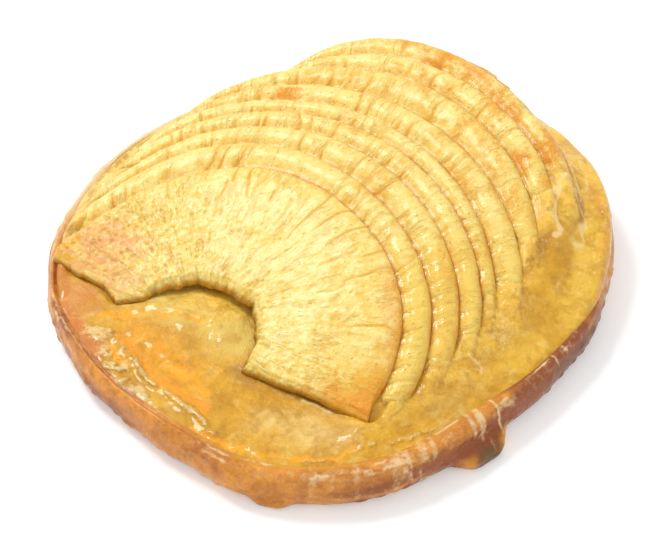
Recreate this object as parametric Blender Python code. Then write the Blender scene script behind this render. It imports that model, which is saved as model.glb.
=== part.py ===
"""Apple tartlet, about 11 cm across.

A low round pastry case holds baked custard, and a sliced half apple lies
fanned over it from front left to back right. Every slice is a solid of its
own, as are the pastry case and the custard. The slices share one slanted
stack: P runs level along the cut edge, Q climbs the slices towards the
rounded side, and N is square to the slices. World +Z is up and the camera
side of the tartlet faces -Y.
"""

import bmesh
import bpy
import numpy as np

MM = 0.001

# ---------------------------------------------------------------- sizes (mm)
GAP = 0.3                       # clearance between pieces that touch
CENTRE = (0.35, -0.35)          # middle of the whole tartlet, which is set on the origin

# Outer radius of the pastry every 15 degrees from +X, counter-clockwise.
RIM_RADII = (54.5, 57.0, 59.0, 59.5, 59.0, 58.0, 57.0, 55.0,
             53.0, 52.5, 53.0, 53.8, 54.6, 54.4, 53.4, 53.4,
             54.4, 56.8, 57.0, 54.8, 51.6, 50.4, 50.8, 52.8)
RIM_HEIGHT = 8.2                # crest of the pastry wall
RIM_SINK = 1.6                  # how far the crest dips under the first slice
RIM_SINK_AZIMUTH = 176.0        # degrees, where that dip is
RIM_SINK_WIDTH = 16.0           # degrees
CASE_FLOOR = 3.0                # pastry under the custard
WALL_WIDTH = 3.5                # radial width of the crest
WALL_SPREAD = 1.1               # how much wider it is at the front and the back
WALL_SPREAD_AZIMUTH = 275.0
CREST_WAVES = ((0.22, 5, 40.0), (0.15, 11, 0.0))  # mm, how many round the rim, degrees
FOLD_DEPTH = 0.9                # groove along the crest at the front left
FOLD_AZIMUTH = 222.0
FOLD_WIDTH = 34.0

# Outside of the wall from its foot up: outset from RIM_RADII, height, unevenness.
CASE_OUTSIDE = ((-2.6, 0.0, 0.0), (-1.1, 0.9, 0.15), (-0.2, 2.8, 0.35), (0.0, 4.6, 0.4))

# Crest from outside to inside: share of the wall's width, fall below the crest,
# unevenness, share of the fold's depth.
CASE_CREST = ((0.08, 1.7, 0.3, 0.0), (0.25, 0.5, 0.2, 0.0), (0.5, 0.0, 0.1, 0.0),
              (0.75, 0.15, 0.0, 1.0), (1.0, 0.9, 0.0, 0.0))

# Inside of the wall down to the floor: inset from the crest, height.
CASE_INSIDE = ((0.4, 5.2), (1.2, CASE_FLOOR + 0.6), (3.0, CASE_FLOOR))
FOOT_INSET = 6.5                # inset of the innermost ring under the case
WALL_WAVES = ((9, 0.0), (17, 60.0))  # unevenness of the wall: how many round it, degrees

# Custard that ran over the wall and set at its foot: azimuth, width, reach, top.
DRIPS = ((302.5, 6.2, 4.0, 4.6), (259.0, 3.6, 1.6, 2.2))
DRIP_BLUNTNESS = 4              # even power that flattens the end of a drip

CUSTARD_EDGE = 6.9              # custard level along the pastry
CUSTARD_MIDDLE = 6.7            # custard level in the open front

# Where the custard climbs the ends of the slices: azimuth, width, rise.
BANKS = ((8.0, 34.0, 6.2), (24.0, 18.0, 2.4), (318.0, 28.0, 2.4), (140.0, 36.0, 2.4))
BANK_REACH = 9.0                # how far in from the wall that rise takes
BANK_START = 34.0               # radius at which that rise is full

# Set swells on the open custard: x, y, radius, height.
CUSTARD_LUMPS = (
    (-38.0, -26.0, 5.5, 0.9), (-31.0, -33.0, 5.0, 0.8), (-24.0, -39.0, 6.0, 0.7),
    (-30.0, -20.0, 7.0, 0.8), (-17.0, -22.0, 7.0, 0.9), (-8.0, -44.0, 6.5, 0.5),
    (6.0, -46.0, 5.0, 0.5), (26.0, -36.0, 5.0, 0.5), (41.0, -22.0, 6.0, 0.6),
    (47.0, -6.0, 6.0, 0.6), (50.0, 12.0, 6.0, 0.6), (47.0, 29.0, 5.0, 0.7),
)

STACK_POINT = (0.0, -10.0, 9.0)  # where P, Q and N are all zero
STACK_AZIMUTH = -44.0            # degrees, direction of P
STACK_TILT = 20.0                # degrees, climb of Q
SLICE_GAP = 0.4                 # clearance between slices
SLICE_PITCH = 2.1                # N distance from one slice face to the next
FIRST_FACE = 8.4                 # N of the front slice's face
EDGE_ROUND = 1.1                 # how far a slice's rounded edge falls
EDGE_WIDTH = 1.7                 # how wide that rounding is
BAND_SWELL = 0.55                # swell of the strip each slice leaves bare
FULL_BAND = 4.0                  # a strip at least this wide swells in full
LEAST_BAND = 0.5                 # width that the narrowest strip counts with
OUTLINE_TURN = -12.0             # degrees, turn of the half rings in their plane
OUTLINE_SKEW = 0.010             # twofold unevenness of every slice
DROOP_START = 5.0                # P where the slices begin to droop to the right
DROOP = 0.0026                   # mm of droop for each square mm beyond it
TIP_LIFT = 0.0055                # the same for the left ends, which lift onto the pastry
TIP_LIFT_START = -28.0
TIP_LIFT_Q = (-5.0, -25.0)       # Q where that lift begins and where it is full

# Each slice: P of its centre, Q of its top, half chord and depth of its half
# ring, and its threefold unevenness.
SLICES = (
    (-10.7, 15.8, 35.4, 45.2, 0.050),
    (-9.8, 20.4, 39.4, 40.5, 0.030),
    (-9.2, 25.7, 42.3, 39.5, 0.010),
    (-9.3, 30.4, 45.0, 40.0, 0.000),
    (-8.9, 33.4, 46.0, 34.6, -0.024),
    (-9.2, 39.9, 47.5, 39.8, -0.005),
    (-10.1, 46.7, 45.7, 37.3, -0.017),
    (-9.9, 53.8, 41.0, 37.7, 0.020),
    (-9.8, 59.1, 39.0, 33.8, 0.040),
    (-6.8, 61.0, 35.4, 34.0, 0.060),
    (-6.9, 61.0, 34.0, 32.0, 0.060),
    (-9.5, 60.0, 36.0, 31.0, 0.030),
)

# Lower edge of the front slice as P, Q: left leg, core notch, right leg.
FRONT_EDGE = (
    (-45.4, -27.6), (-40.0, -28.0), (-33.0, -26.8), (-28.2, -27.9), (-25.4, -24.6),
    (-23.0, -19.2), (-18.3, -14.4), (-12.0, -12.4), (-5.6, -12.0), (-2.0, -15.1),
    (0.9, -18.2), (2.6, -23.6), (9.7, -21.6), (18.0, -19.5), (27.5, -17.4),
)

# Share of the way along the slice at which each of those points lies.
FRONT_SHARES = (0.0, 0.05, 0.12, 0.18, 0.25, 0.32, 0.41, 0.50, 0.60, 0.68, 0.75, 0.82, 0.89, 0.95, 1.0)
FRONT_ENDS = (185.5, 27.0)      # degrees, ends of the front slice's round side
NOTCH_TOP = -12.0               # Q of the top of the core notch
NOTCH_STEP = 1.5                # how much further up each hidden edge lies
NOTCH_CENTRE = -13.0            # P of the middle of the core notch
NOTCH_HALF = 15.0               # half its width
CUT_EDGE_ROUND = 0.35           # rounding of a slice's cut lower edge
RIDE = 0.25                     # extra clearance of a slice that rides on what is under it
THIN_EDGE = 0.9                 # least thickness of a slice
WIDEST_END = 184.0               # degrees, furthest that a round side runs at either end
END_LIFT = 0.4                  # a slice ends where its underside is this near the custard
END_REACH = 3.0                 # or where its lower edge is this near its round side
AIM_DROP = 25.0                 # how far below the middle of its outline a slice's sections aim
SUNK_UNDER_SLICES = 0.5         # how much lower the custard lies under the slices
COVER_START = 2.0               # how far in from the front slice's edge that begins
COVER_REACH = 4.0               # and how much further in it is full
CUSTARD_INSET = 0.2             # how far inside the crest's inner line the custard ends
CUSTARD_FLOOR_GAP = 0.05        # clearance over the case's floor beyond GAP
CUSTARD_UNDERSIDE = ((2.8, 0.0), (0.7, 1.25))  # inset from its edge, height over its floor
CRUST_RISE = 0.1                # how far over the crest a slice counts it as support
CRUST_BLEND = 1.2               # how wide the step from custard to crest counts
HEEL_INSET = 1.2                # how far inside the crest's inner line the heel's foot stays
HEEL_OVERHANG = 0.3             # how far the heel's round side bulges out below its face

# ------------------------------------------------------------------- meshing
BAND_ROWS = (0.0, 0.4, 1.0, 1.8, 3.0, 4.4, 5.8)  # mm in from a slice's rounded edge
BAND_SHARE = 0.7                # most of a section that those rows take
HIDDEN_ROWS = (0.5, 1.0)        # shares of the rest of the way to the lower edge
FACE_ROWS = (0.22, 0.46, 0.72, 0.94, 1.0)
UNDER_ROWS = (0.94, 0.5)        # shares of the way in of the rows on the underside
UNDER_EDGE = 0.9                # mm in from the round side of the outermost of them
CASE_STEPS = 108                # facets round the pastry case
CUSTARD_STEPS = 72
CUSTARD_ROWS = (1.0, 0.965, 0.91, 0.84, 0.75, 0.64, 0.51, 0.36, 0.19)
FRONT_STEPS = 46                # facets along the front slice
SLICE_STEPS = 30
AIM_STEPS = 160                 # places tried along a section for the slice's lower edge

# Colour, roughness of each kind of piece.
FINISHES = {
    "crust_baked": ((0.56, 0.25, 0.10, 1.0), 0.45),
    "custard": ((0.80, 0.55, 0.14, 1.0), 0.25),
    "apple_flesh": ((0.95, 0.80, 0.36, 1.0), 0.40),
}


# --------------------------------------------------------------- small helpers
def clear_scene():
    """Remove every object that the file opened with."""
    for thing in list(bpy.data.objects):
        bpy.data.objects.remove(thing, do_unlink=True)


def make_material(name):
    """Return a Principled material from the FINISHES table."""
    colour, roughness = FINISHES[name]
    material = bpy.data.materials.new(name)
    material.use_nodes = True
    shader = material.node_tree.nodes["Principled BSDF"]
    shader.inputs["Base Color"].default_value = colour
    shader.inputs["Roughness"].default_value = roughness
    shader.inputs["Metallic"].default_value = 0.0
    material.diffuse_color = colour
    return material


def hump(angle, centre, width):
    """Smooth bump of height 1 round one azimuth, all in degrees."""
    off = (angle - centre + 180.0) % 360.0 - 180.0
    return np.exp(-(off / width) ** 2)


def rim_radius(angle):
    """Outer radius of the pastry at an azimuth in degrees, by periodic cubics."""
    knots = np.array(RIM_RADII)
    place = (np.asarray(angle) % 360.0) / 360.0 * len(knots)
    left = np.floor(place).astype(int)
    t = place - left
    a, b, c, d = (knots[(left + step) % len(knots)] for step in (-1, 0, 1, 2))
    return b + 0.5 * t * (c - a + t * (2 * a - 5 * b + 4 * c - d + t * (3 * (b - c) + d - a)))


def rim_crest(angle):
    """Height of the pastry crest at an azimuth in degrees."""
    height = RIM_HEIGHT - RIM_SINK * hump(angle, RIM_SINK_AZIMUTH, RIM_SINK_WIDTH)
    for size, count, phase in CREST_WAVES:
        height = height + size * np.sin(np.radians(count * angle + phase))
    return height


def wall_width(angle):
    """Radial width of the pastry crest at an azimuth in degrees."""
    return WALL_WIDTH + WALL_SPREAD * np.cos(np.radians(2.0 * (angle - WALL_SPREAD_AZIMUTH)))


def inner_rim_radius(angle):
    """Radius at which the pastry crest turns down to the custard."""
    return rim_radius(angle) - wall_width(angle)


def build_object(name, vertices, faces, material, sharp_angle=40.0):
    """Make a smooth-shaded object from points in mm, with all faces split in triangles."""
    mesh = bpy.data.meshes.new(name)
    placed = (np.array(vertices) - (CENTRE[0], CENTRE[1], 0.0)) * MM
    mesh.from_pydata(placed.tolist(), [], faces)
    frame = bmesh.new()
    frame.from_mesh(mesh)
    bmesh.ops.triangulate(frame, faces=frame.faces[:], quad_method="FIXED")
    bmesh.ops.recalc_face_normals(frame, faces=frame.faces[:])
    frame.to_mesh(mesh)
    frame.free()
    mesh.shade_smooth()
    mesh.set_sharp_from_angle(angle=np.radians(sharp_angle))
    mesh.materials.append(material)
    thing = bpy.data.objects.new(name, mesh)
    bpy.context.scene.collection.objects.link(thing)
    return thing


def ring_faces(count, first, second):
    """Quads between two closed rings of points that start at first and at second."""
    return [
        (first + i, first + (i + 1) % count, second + (i + 1) % count, second + i)
        for i in range(count)
    ]


def turned_body(rings, bottom, top):
    """Faces and points of a body from closed rings, closed by a point at each end."""
    count = len(rings[0])
    points = [bottom]
    for ring in rings:
        points.extend(ring)
    points.append(top)
    faces = [(0, 1 + (i + 1) % count, 1 + i) for i in range(count)]
    for level in range(len(rings) - 1):
        start = 1 + level * count
        faces.extend(ring_faces(count, start, start + count))
    start = 1 + (len(rings) - 1) * count
    last = len(points) - 1
    faces.extend((start + i, start + (i + 1) % count, last) for i in range(count))
    return points, faces


# ------------------------------------------------------------- the slice stack
def stack_axes():
    """Return the unit vectors P, Q and N of the slanted stack."""
    azimuth = np.radians(STACK_AZIMUTH)
    tilt = np.radians(STACK_TILT)
    uphill = np.array([-np.sin(azimuth), np.cos(azimuth), 0.0])
    along = np.array([np.cos(azimuth), np.sin(azimuth), 0.0])
    climb = uphill * np.cos(tilt) + np.array([0.0, 0.0, np.sin(tilt)])
    square = -uphill * np.sin(tilt) + np.array([0.0, 0.0, np.cos(tilt)])
    return along, climb, square


def to_world(p, q, n):
    """World points in mm for matching arrays of stack coordinates."""
    along, climb, square = stack_axes()
    return (np.array(STACK_POINT) + np.multiply.outer(p, along)
            + np.multiply.outer(q, climb) + np.multiply.outer(n, square))


def warp(p, q):
    """N offset that all slices share: a droop to the right and a lifted left end."""
    droop = DROOP * np.clip(p - DROOP_START, 0.0, None) ** 2
    low = np.clip((TIP_LIFT_Q[0] - q) / (TIP_LIFT_Q[0] - TIP_LIFT_Q[1]), 0.0, 1.0)
    lift = TIP_LIFT * np.clip(TIP_LIFT_START - p, 0.0, None) ** 2 * low
    return lift - droop


def face_level(index, p, q):
    """N of the face of slice number index, counted from 0, without its edge rounding."""
    return FIRST_FACE - SLICE_PITCH * index + warp(p, q)


def under_level(index, p, q):
    """N of the underside of slice number index: just above the next slice's face."""
    return face_level(index + 1, p, q) + SLICE_GAP


def outline_factor(index, angle):
    """Unevenness of the round side of a slice at an angle in radians."""
    return 1.0 + OUTLINE_SKEW * np.sin(2 * angle) + SLICES[index][4] * np.sin(3 * angle)


def outline_point(index, angle):
    """P and Q on the round side of a slice; angle 0 is its right end, pi its left."""
    centre, top, half, depth = SLICES[index][:4]
    turn = np.radians(OUTLINE_TURN)
    u = half * outline_factor(index, angle) * np.cos(angle)
    v = depth * outline_factor(index, angle) * np.sin(angle)
    return (centre + u * np.cos(turn) - v * np.sin(turn),
            top - depth + u * np.sin(turn) + v * np.cos(turn))


def beyond_outline(index, p, q):
    """Distance of P, Q outside a slice's round side, negative inside."""
    centre, top, half, depth = SLICES[index][:4]
    turn = np.radians(OUTLINE_TURN)
    across = p - centre
    up = q - (top - depth)
    u = (across * np.cos(turn) + up * np.sin(turn)) / half
    v = (up * np.cos(turn) - across * np.sin(turn)) / depth
    reach = np.hypot(u, v)
    return (reach - outline_factor(index, np.arctan2(v, u))) * 0.5 * (half + depth)


def custard_free(x, y):
    """Height of the custard where no slice lies on it."""
    radius = np.hypot(x, y)
    angle = np.degrees(np.arctan2(y, x))
    inward = np.clip((inner_rim_radius(angle) - radius) / BANK_REACH, 0.0, 1.0)
    inward = inward * inward * (3.0 - 2.0 * inward)
    outward = np.clip(radius / BANK_START, 0.0, 1.0) ** 2
    bank = sum(rise * hump(angle, azimuth, width) for azimuth, width, rise in BANKS) * outward
    height = CUSTARD_EDGE + (CUSTARD_MIDDLE - CUSTARD_EDGE + bank) * inward
    for lump_x, lump_y, size, rise in CUSTARD_LUMPS:
        height = height + rise * np.exp(-((x - lump_x) ** 2 + (y - lump_y) ** 2) / size ** 2)
    return height


# ------------------------------------------------------------ pastry and custard
def support_height(x, y):
    """Height of whatever lies under a slice: custard inside the wall, crest on it."""
    radius = np.hypot(x, y)
    angle = np.degrees(np.arctan2(y, x))
    blend = np.clip((radius - inner_rim_radius(angle)) / CRUST_BLEND + 1.0, 0.0, 1.0)
    return custard_free(x, y) * (1.0 - blend) + (rim_crest(angle) + CRUST_RISE) * blend


def case_ring(angle, outset, height, uneven=0.0):
    """One ring of the pastry case: azimuths, distance outside RIM_RADII, heights."""
    waves = sum(np.sin(np.radians(count * angle + phase)) for count, phase in WALL_WAVES)
    radius = rim_radius(angle) + outset + uneven * waves / len(WALL_WAVES)
    return np.stack([radius * np.cos(np.radians(angle)), radius * np.sin(np.radians(angle)),
                     height + 0.0 * angle], axis=-1)


def drip_reach(angle, height):
    """How far the set drips stand out of the wall at an azimuth and a height."""
    reach = 0.0 * angle
    for azimuth, width, length, top in DRIPS:
        off = (angle - azimuth + 180.0) % 360.0 - 180.0
        blunt = np.exp(-(off / width) ** DRIP_BLUNTNESS)
        reach = reach + length * blunt * np.sqrt(np.clip(1.0 - (height / top) ** 2, 0.0, 1.0))
    return reach


def make_case(material):
    """Pastry case: flat foot, bulging wall, rounded crest with a fold, and a floor."""
    angle = np.arange(CASE_STEPS) * 360.0 / CASE_STEPS
    crest = rim_crest(angle)
    width = wall_width(angle)
    fold = FOLD_DEPTH * hump(angle, FOLD_AZIMUTH, FOLD_WIDTH)
    rings = [case_ring(angle, -FOOT_INSET, 0.0)]
    for outset, height, uneven in CASE_OUTSIDE:
        rings.append(case_ring(angle, outset + drip_reach(angle, height), height, uneven))
    for share, fall, uneven, folded in CASE_CREST:
        rings.append(case_ring(angle, -share * width, crest - fall - folded * fold, uneven))
    for inset, height in CASE_INSIDE:
        rings.append(case_ring(angle, -width - inset, height))
    points, faces = turned_body(rings, (0.0, 0.0, 0.0), (0.0, 0.0, CASE_FLOOR))
    return build_object("crust", points, faces, material)


def cover(x, y):
    """1 deep under the slices, 0 in the open, for points on the custard."""
    along, climb, _ = stack_axes()
    across = np.stack([x - STACK_POINT[0], y - STACK_POINT[1]], axis=-1)
    tilt = np.radians(STACK_TILT)
    uphill = climb[:2] / np.cos(tilt)
    q = (across @ uphill + (FIRST_FACE - SLICE_PITCH) * np.sin(tilt)) / np.cos(tilt)
    edge = np.array(FRONT_EDGE)
    inside = q - np.interp(across @ along[:2], edge[:, 0], edge[:, 1])
    return np.clip((inside - COVER_START) / COVER_REACH, 0.0, 1.0)


def make_custard(material):
    """Custard: fills the case up to its swelling top, a little lower under the slices."""
    angle = np.arange(CUSTARD_STEPS) * 360.0 / CUSTARD_STEPS
    edge = inner_rim_radius(angle) - CUSTARD_INSET - GAP
    direction = np.stack([np.cos(np.radians(angle)), np.sin(np.radians(angle))], axis=-1)
    floor = CASE_FLOOR + GAP + CUSTARD_FLOOR_GAP
    rings = []
    for inset, height in CUSTARD_UNDERSIDE:
        place = direction * (edge - inset)[:, None]
        rings.append(np.column_stack([place, np.full(CUSTARD_STEPS, floor + height)]))
    for share in CUSTARD_ROWS:
        place = direction * (edge * share)[:, None]
        height = custard_free(place[:, 0], place[:, 1])
        height = height - SUNK_UNDER_SLICES * cover(place[:, 0], place[:, 1])
        rings.append(np.column_stack([place, height]))
    middle = float(custard_free(0.0, 0.0)) - SUNK_UNDER_SLICES
    points, faces = turned_body(rings, (0.0, 0.0, floor), (0.0, 0.0, middle))
    return build_object("custard", points, faces, material)


# ------------------------------------------------------------------ the slices
def lower_edge(index, outer_p, outer_q):
    """P and Q where a slice ends on the way from its round side to its aim, and how far that is.

    It ends where its underside comes down to what lies below it, or at its core notch.
    """
    centre, top, _, depth = SLICES[index][:4]
    share = np.linspace(0.0, 1.0, AIM_STEPS)
    p = outer_p[:, None] + (centre - outer_p)[:, None] * share
    q = outer_q[:, None] + (top - depth - AIM_DROP - outer_q)[:, None] * share
    under = to_world(p, q, under_level(index, p, q))
    room = under[..., 2] - support_height(under[..., 0], under[..., 1]) - GAP
    notched = (np.abs(p - NOTCH_CENTRE) < NOTCH_HALF) & (q < NOTCH_TOP + NOTCH_STEP * index)
    stopped = (room < 0.0) | notched
    stopped[:, -1] = True
    rows = np.arange(len(outer_p))
    after = stopped.argmax(axis=1)
    before = np.maximum(after - 1, 0)
    fall = np.maximum(room[rows, before] - room[rows, after], 0.001)
    extra = np.where(notched[rows, after], 0.0, np.clip(room[rows, before] / fall, 0.0, 1.0))
    found = share[before] + extra * share[1]
    edge_p = outer_p + (centre - outer_p) * found
    edge_q = outer_q + (top - depth - AIM_DROP - outer_q) * found
    return edge_p, edge_q, np.hypot(edge_p - outer_p, edge_q - outer_q)


def slice_ends(index):
    """Angles of the left and right end of a slice's round side, in radians."""
    if index == 0:
        return np.radians(FRONT_ENDS)
    angles = np.radians(np.arange(90.0, WIDEST_END, 1.0))
    ends = []
    for side in (angles, np.pi - angles):
        p, q = outline_point(index, side)
        under = to_world(p, q, under_level(index, p, q))
        lowered = under[:, 2] < support_height(under[:, 0], under[:, 1]) + GAP + END_LIFT
        stops = np.flatnonzero(lowered | (lower_edge(index, p, q)[2] < END_REACH))
        ends.append(side[stops[0]] if len(stops) else side[-1])
    return ends


def inner_edge(index, share, outer_p, outer_q):
    """P and Q of the lower edge of a slice for each share of the way from left to right."""
    if index == 0:
        return (np.interp(share, FRONT_SHARES, [point[0] for point in FRONT_EDGE]),
                np.interp(share, FRONT_SHARES, [point[1] for point in FRONT_EDGE]))
    return lower_edge(index, outer_p, outer_q)[:2]


def inside_wall(place):
    """Pull points in so that they stay clear of the pastry wall."""
    radius = np.hypot(place[:, 0], place[:, 1])
    angle = np.degrees(np.arctan2(place[:, 1], place[:, 0]))
    keep = np.minimum(1.0, (inner_rim_radius(angle) - HEEL_INSET) / radius)
    moved = place.copy()
    moved[:, :2] *= keep[:, None]
    return moved


def edge_fall(distance, fit):
    """Fall of a slice's face at a distance in from its round side, as a quarter ellipse."""
    out = np.clip(1.0 - distance / (EDGE_WIDTH * fit), 0.0, 1.0)
    return EDGE_ROUND * (1.0 - np.sqrt(1.0 - out ** 2))


def band_swell(index, p, q, outer_p, outer_q):
    """Rise of the strip that a slice leaves bare beyond the slice on top of it."""
    if index == 0:
        return 0.0
    width = np.maximum(beyond_outline(index - 1, outer_p, outer_q), LEAST_BAND)
    across = np.clip(beyond_outline(index - 1, p, q) / width, 0.0, 1.0)
    return BAND_SWELL * 4.0 * across * (1.0 - across) * np.clip(width / FULL_BAND, 0.0, 1.0)


def slice_sections(index, steps):
    """Closed cross-sections of a slice from its left end to its right end, in mm."""
    share = np.linspace(0.0, 1.0, steps)
    left, right = slice_ends(index)
    outer_p, outer_q = outline_point(index, left + (right - left) * share)
    inner_p, inner_q = inner_edge(index, share, outer_p, outer_q)
    length = np.hypot(inner_p - outer_p, inner_q - outer_q)
    fit = np.minimum(1.0, BAND_SHARE * length / BAND_ROWS[-1])
    start = BAND_ROWS[-1] * fit / length
    tops = [distance * fit / length for distance in BAND_ROWS]
    tops.extend(start + (1.0 - start) * part for part in (HIDDEN_ROWS if index else FACE_ROWS))
    heel = index == len(SLICES) - 1
    bottoms = [np.full(steps, part) for part in UNDER_ROWS]
    bottoms.append(UNDER_EDGE * fit / length)
    loop = []
    for row, part in enumerate(tops):
        p = outer_p + (inner_p - outer_p) * part
        q = outer_q + (inner_q - outer_q) * part
        level = face_level(index, p, q) - edge_fall(part * length, fit)
        level = level + band_swell(index, p, q, outer_p, outer_q)
        if row == len(tops) - 1:
            level = level - CUT_EDGE_ROUND
        place = to_world(p, q, level)
        rest = support_height(place[:, 0], place[:, 1]) + GAP + RIDE + THIN_EDGE
        place[:, 2] = np.maximum(place[:, 2], rest)
        loop.append(place)
    for part in bottoms:
        p = outer_p + (inner_p - outer_p) * part
        q = outer_q + (inner_q - outer_q) * part
        place = to_world(p, q, under_level(index, p, q))
        if heel:
            place = inside_wall(place)
        rest = support_height(place[:, 0], place[:, 1]) + GAP + RIDE
        place[:, 2] = rest if heel else np.maximum(place[:, 2], rest)
        loop.append(place)
    if heel:
        part = -HEEL_OVERHANG * fit / length
        p = outer_p + (inner_p - outer_p) * part
        q = outer_q + (inner_q - outer_q) * part
        place = inside_wall(to_world(p, q, under_level(index, p, q)))
        rest = support_height(place[:, 0], place[:, 1]) + GAP + RIDE
        place[:, 2] = 0.5 * (place[:, 2] + rest)
        loop.append(place)
    return np.stack(loop, axis=1)


def make_slice(index, material):
    """One apple slice: its cross-sections joined along, and closed at both ends."""
    steps = FRONT_STEPS if index == 0 else SLICE_STEPS
    sections = slice_sections(index, steps)
    count = sections.shape[1]
    points = list(sections.reshape(-1, 3))
    faces = []
    for step in range(steps - 1):
        faces.extend(ring_faces(count, step * count, (step + 1) * count))
    for start in (0, (steps - 1) * count):
        points.append(sections[start // count].mean(axis=0))
        hub = len(points) - 1
        faces.extend((start + i, start + (i + 1) % count, hub) for i in range(count))
    name = "apple_heel" if index == len(SLICES) - 1 else f"apple_slice_{index + 1:02d}"
    return build_object(name, points, faces, material, 50.0)


def main():
    """Build the whole tartlet."""
    clear_scene()
    finishes = {name: make_material(name) for name in FINISHES}
    make_case(finishes["crust_baked"])
    make_custard(finishes["custard"])
    for index in range(len(SLICES)):
        make_slice(index, finishes["apple_flesh"])


main()
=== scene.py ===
"""Look of the apple tartlet: finely shaped meshes, baked finishes, soft light and camera."""
import logging
import math
from dataclasses import dataclass
from enum import Enum
from typing import Sequence

import bpy
import numpy as np
from mathutils import Matrix, Vector


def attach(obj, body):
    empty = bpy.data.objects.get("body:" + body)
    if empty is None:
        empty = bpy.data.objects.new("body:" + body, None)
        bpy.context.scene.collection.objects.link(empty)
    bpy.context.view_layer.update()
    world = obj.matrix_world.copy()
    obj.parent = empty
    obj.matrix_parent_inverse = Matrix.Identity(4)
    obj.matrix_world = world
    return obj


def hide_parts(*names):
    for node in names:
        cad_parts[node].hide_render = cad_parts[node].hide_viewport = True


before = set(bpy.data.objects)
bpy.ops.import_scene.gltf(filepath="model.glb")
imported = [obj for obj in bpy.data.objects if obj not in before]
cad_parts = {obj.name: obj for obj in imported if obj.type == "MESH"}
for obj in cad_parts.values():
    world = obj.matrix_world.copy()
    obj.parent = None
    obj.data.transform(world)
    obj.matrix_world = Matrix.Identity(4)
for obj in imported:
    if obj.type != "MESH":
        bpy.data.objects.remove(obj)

LOG = logging.getLogger("tartlet")
MM = 0.001
Array = np.ndarray
Colour = tuple[float, float, float]
Pair = tuple[float, float]
Triple = tuple[float, float, float]
Socket = bpy.types.NodeSocket
Node = bpy.types.Node
Tree = bpy.types.NodeTree
Piece = bpy.types.Object
Material = bpy.types.Material
Layer = tuple[Colour, Socket, float, float]


# ------------------------------------------------------------------ fine relief
def joined(*parts: Array) -> Array:
    """Put values side by side along a new last axis."""
    return np.stack(parts, axis=-1)


def unit(value: Array) -> Array:
    """Keep values between 0 and 1."""
    return np.clip(value, 0.0, 1.0)


def azimuth_of(x: Array, y: Array) -> Array:
    """Azimuth of places in degrees."""
    return np.degrees(np.arctan2(y, x))


def cubic(before: Array, first: Array, second: Array, after: Array, share: Array | float) -> Array:
    """Smooth curve from the first value to the second that also heeds their neighbours.

    Args:
        before: Value before the first.
        first: Value at share 0.
        second: Value at share 1.
        after: Value behind the second.
        share: How far along, 0 to 1.

    Returns:
        The values on the curve.
    """
    bend = 2 * before - 5 * first + 4 * second - after
    twist = 3 * (first - second) + after - before
    return first + 0.5 * share * (second - before + share * (bend + share * twist))


def lattice_value(cell: Array, seed: int) -> Array:
    """Give every whole-number cell a fixed random number.

    Args:
        cell: Whole numbers, one cell along the last axis.
        seed: Which of the many patterns to use.

    Returns:
        Values from -1 to 1, one for each cell.
    """
    total = np.full(cell.shape[:-1], (seed * 2654435761 + 97) & 0xFFFFFFFF, dtype=np.uint32)
    for axis, prime in enumerate((374761393, 668265263, 2246822519)[: cell.shape[-1]]):
        total = total ^ (cell[..., axis].astype(np.uint32) * np.uint32(prime))
        total = (total ^ (total >> np.uint32(13))) * np.uint32(1274126177)
    total = total ^ (total >> np.uint32(16))
    return total.astype(np.float64) / 2147483648.0 - 1.0


def smooth_noise(place: Array, seed: int) -> Array:
    """Blend the lattice values smoothly between the cells.

    Args:
        place: Points in cell units, along the last axis.
        seed: Which pattern to use.

    Returns:
        Values from about -1 to 1.
    """
    base = np.floor(place).astype(np.int64)
    part = place - base
    part = part ** 3 * (part * (part * 6.0 - 15.0) + 10.0)
    dims = place.shape[-1]
    total = np.zeros(place.shape[:-1])
    for corner in range(2 ** dims):
        bits = [(corner >> axis) & 1 for axis in range(dims)]
        weight = np.ones_like(total)
        for axis, bit in enumerate(bits):
            weight = weight * (part[..., axis] if bit else 1.0 - part[..., axis])
        total += weight * lattice_value(base + np.array(bits), seed)
    return total


def layered_noise(place: Array, size: float, seed: int, layers: int = 3) -> Array:
    """Add finer and finer noise.

    Args:
        place: Points in mm, along the last axis.
        size: Width in mm of the largest lumps.
        seed: Which pattern to use.
        layers: How many sizes are added, each half the last.

    Returns:
        Values from about -1 to 1.
    """
    total = np.zeros(place.shape[:-1])
    for layer in range(layers):
        total += smooth_noise(place * (2.0 ** layer / size), seed + layer) * 0.5 ** layer
    return total / (2.0 - 0.5 ** (layers - 1))


def cell_pits(place: Array, size: float, seed: int) -> tuple[Array, Array]:
    """Scatter points one to a cell and measure how near each place is to one.

    Args:
        place: Points in mm, two or three numbers along the last axis.
        size: Mean spacing of the scattered points in mm.
        seed: Which scatter to use.

    Returns:
        Distance to the nearest point in cell units, and that point's random number.
    """
    scaled = place[..., :2] / size
    base = np.floor(scaled).astype(np.int64)
    nearest = np.full(scaled.shape[:-1], 9.0)
    chosen = np.zeros_like(nearest)
    for step_x in (-1, 0, 1):
        for step_y in (-1, 0, 1):
            cell = base + np.array([step_x, step_y])
            centre_x = cell[..., 0] + 0.5 + 0.42 * lattice_value(cell, seed)
            centre_y = cell[..., 1] + 0.5 + 0.42 * lattice_value(cell, seed + 1)
            distance = np.hypot(scaled[..., 0] - centre_x, scaled[..., 1] - centre_y)
            closer = distance < nearest
            nearest = np.where(closer, distance, nearest)
            chosen = np.where(closer, lattice_value(cell, seed + 2), chosen)
    return nearest, chosen


def step_between(value: Array, low: float, high: float) -> Array:
    """Smooth step from 0 at low to 1 at high, also with low above high."""
    part = unit((value - low) / (high - low))
    return part * part * (3.0 - 2.0 * part)


def hump(angle: Array, centre: float, width: float) -> Array:
    """Smooth bump of height 1 round one azimuth, all in degrees."""
    off = (angle - centre + 180.0) % 360.0 - 180.0
    return np.exp(-(off / width) ** 2)


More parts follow.
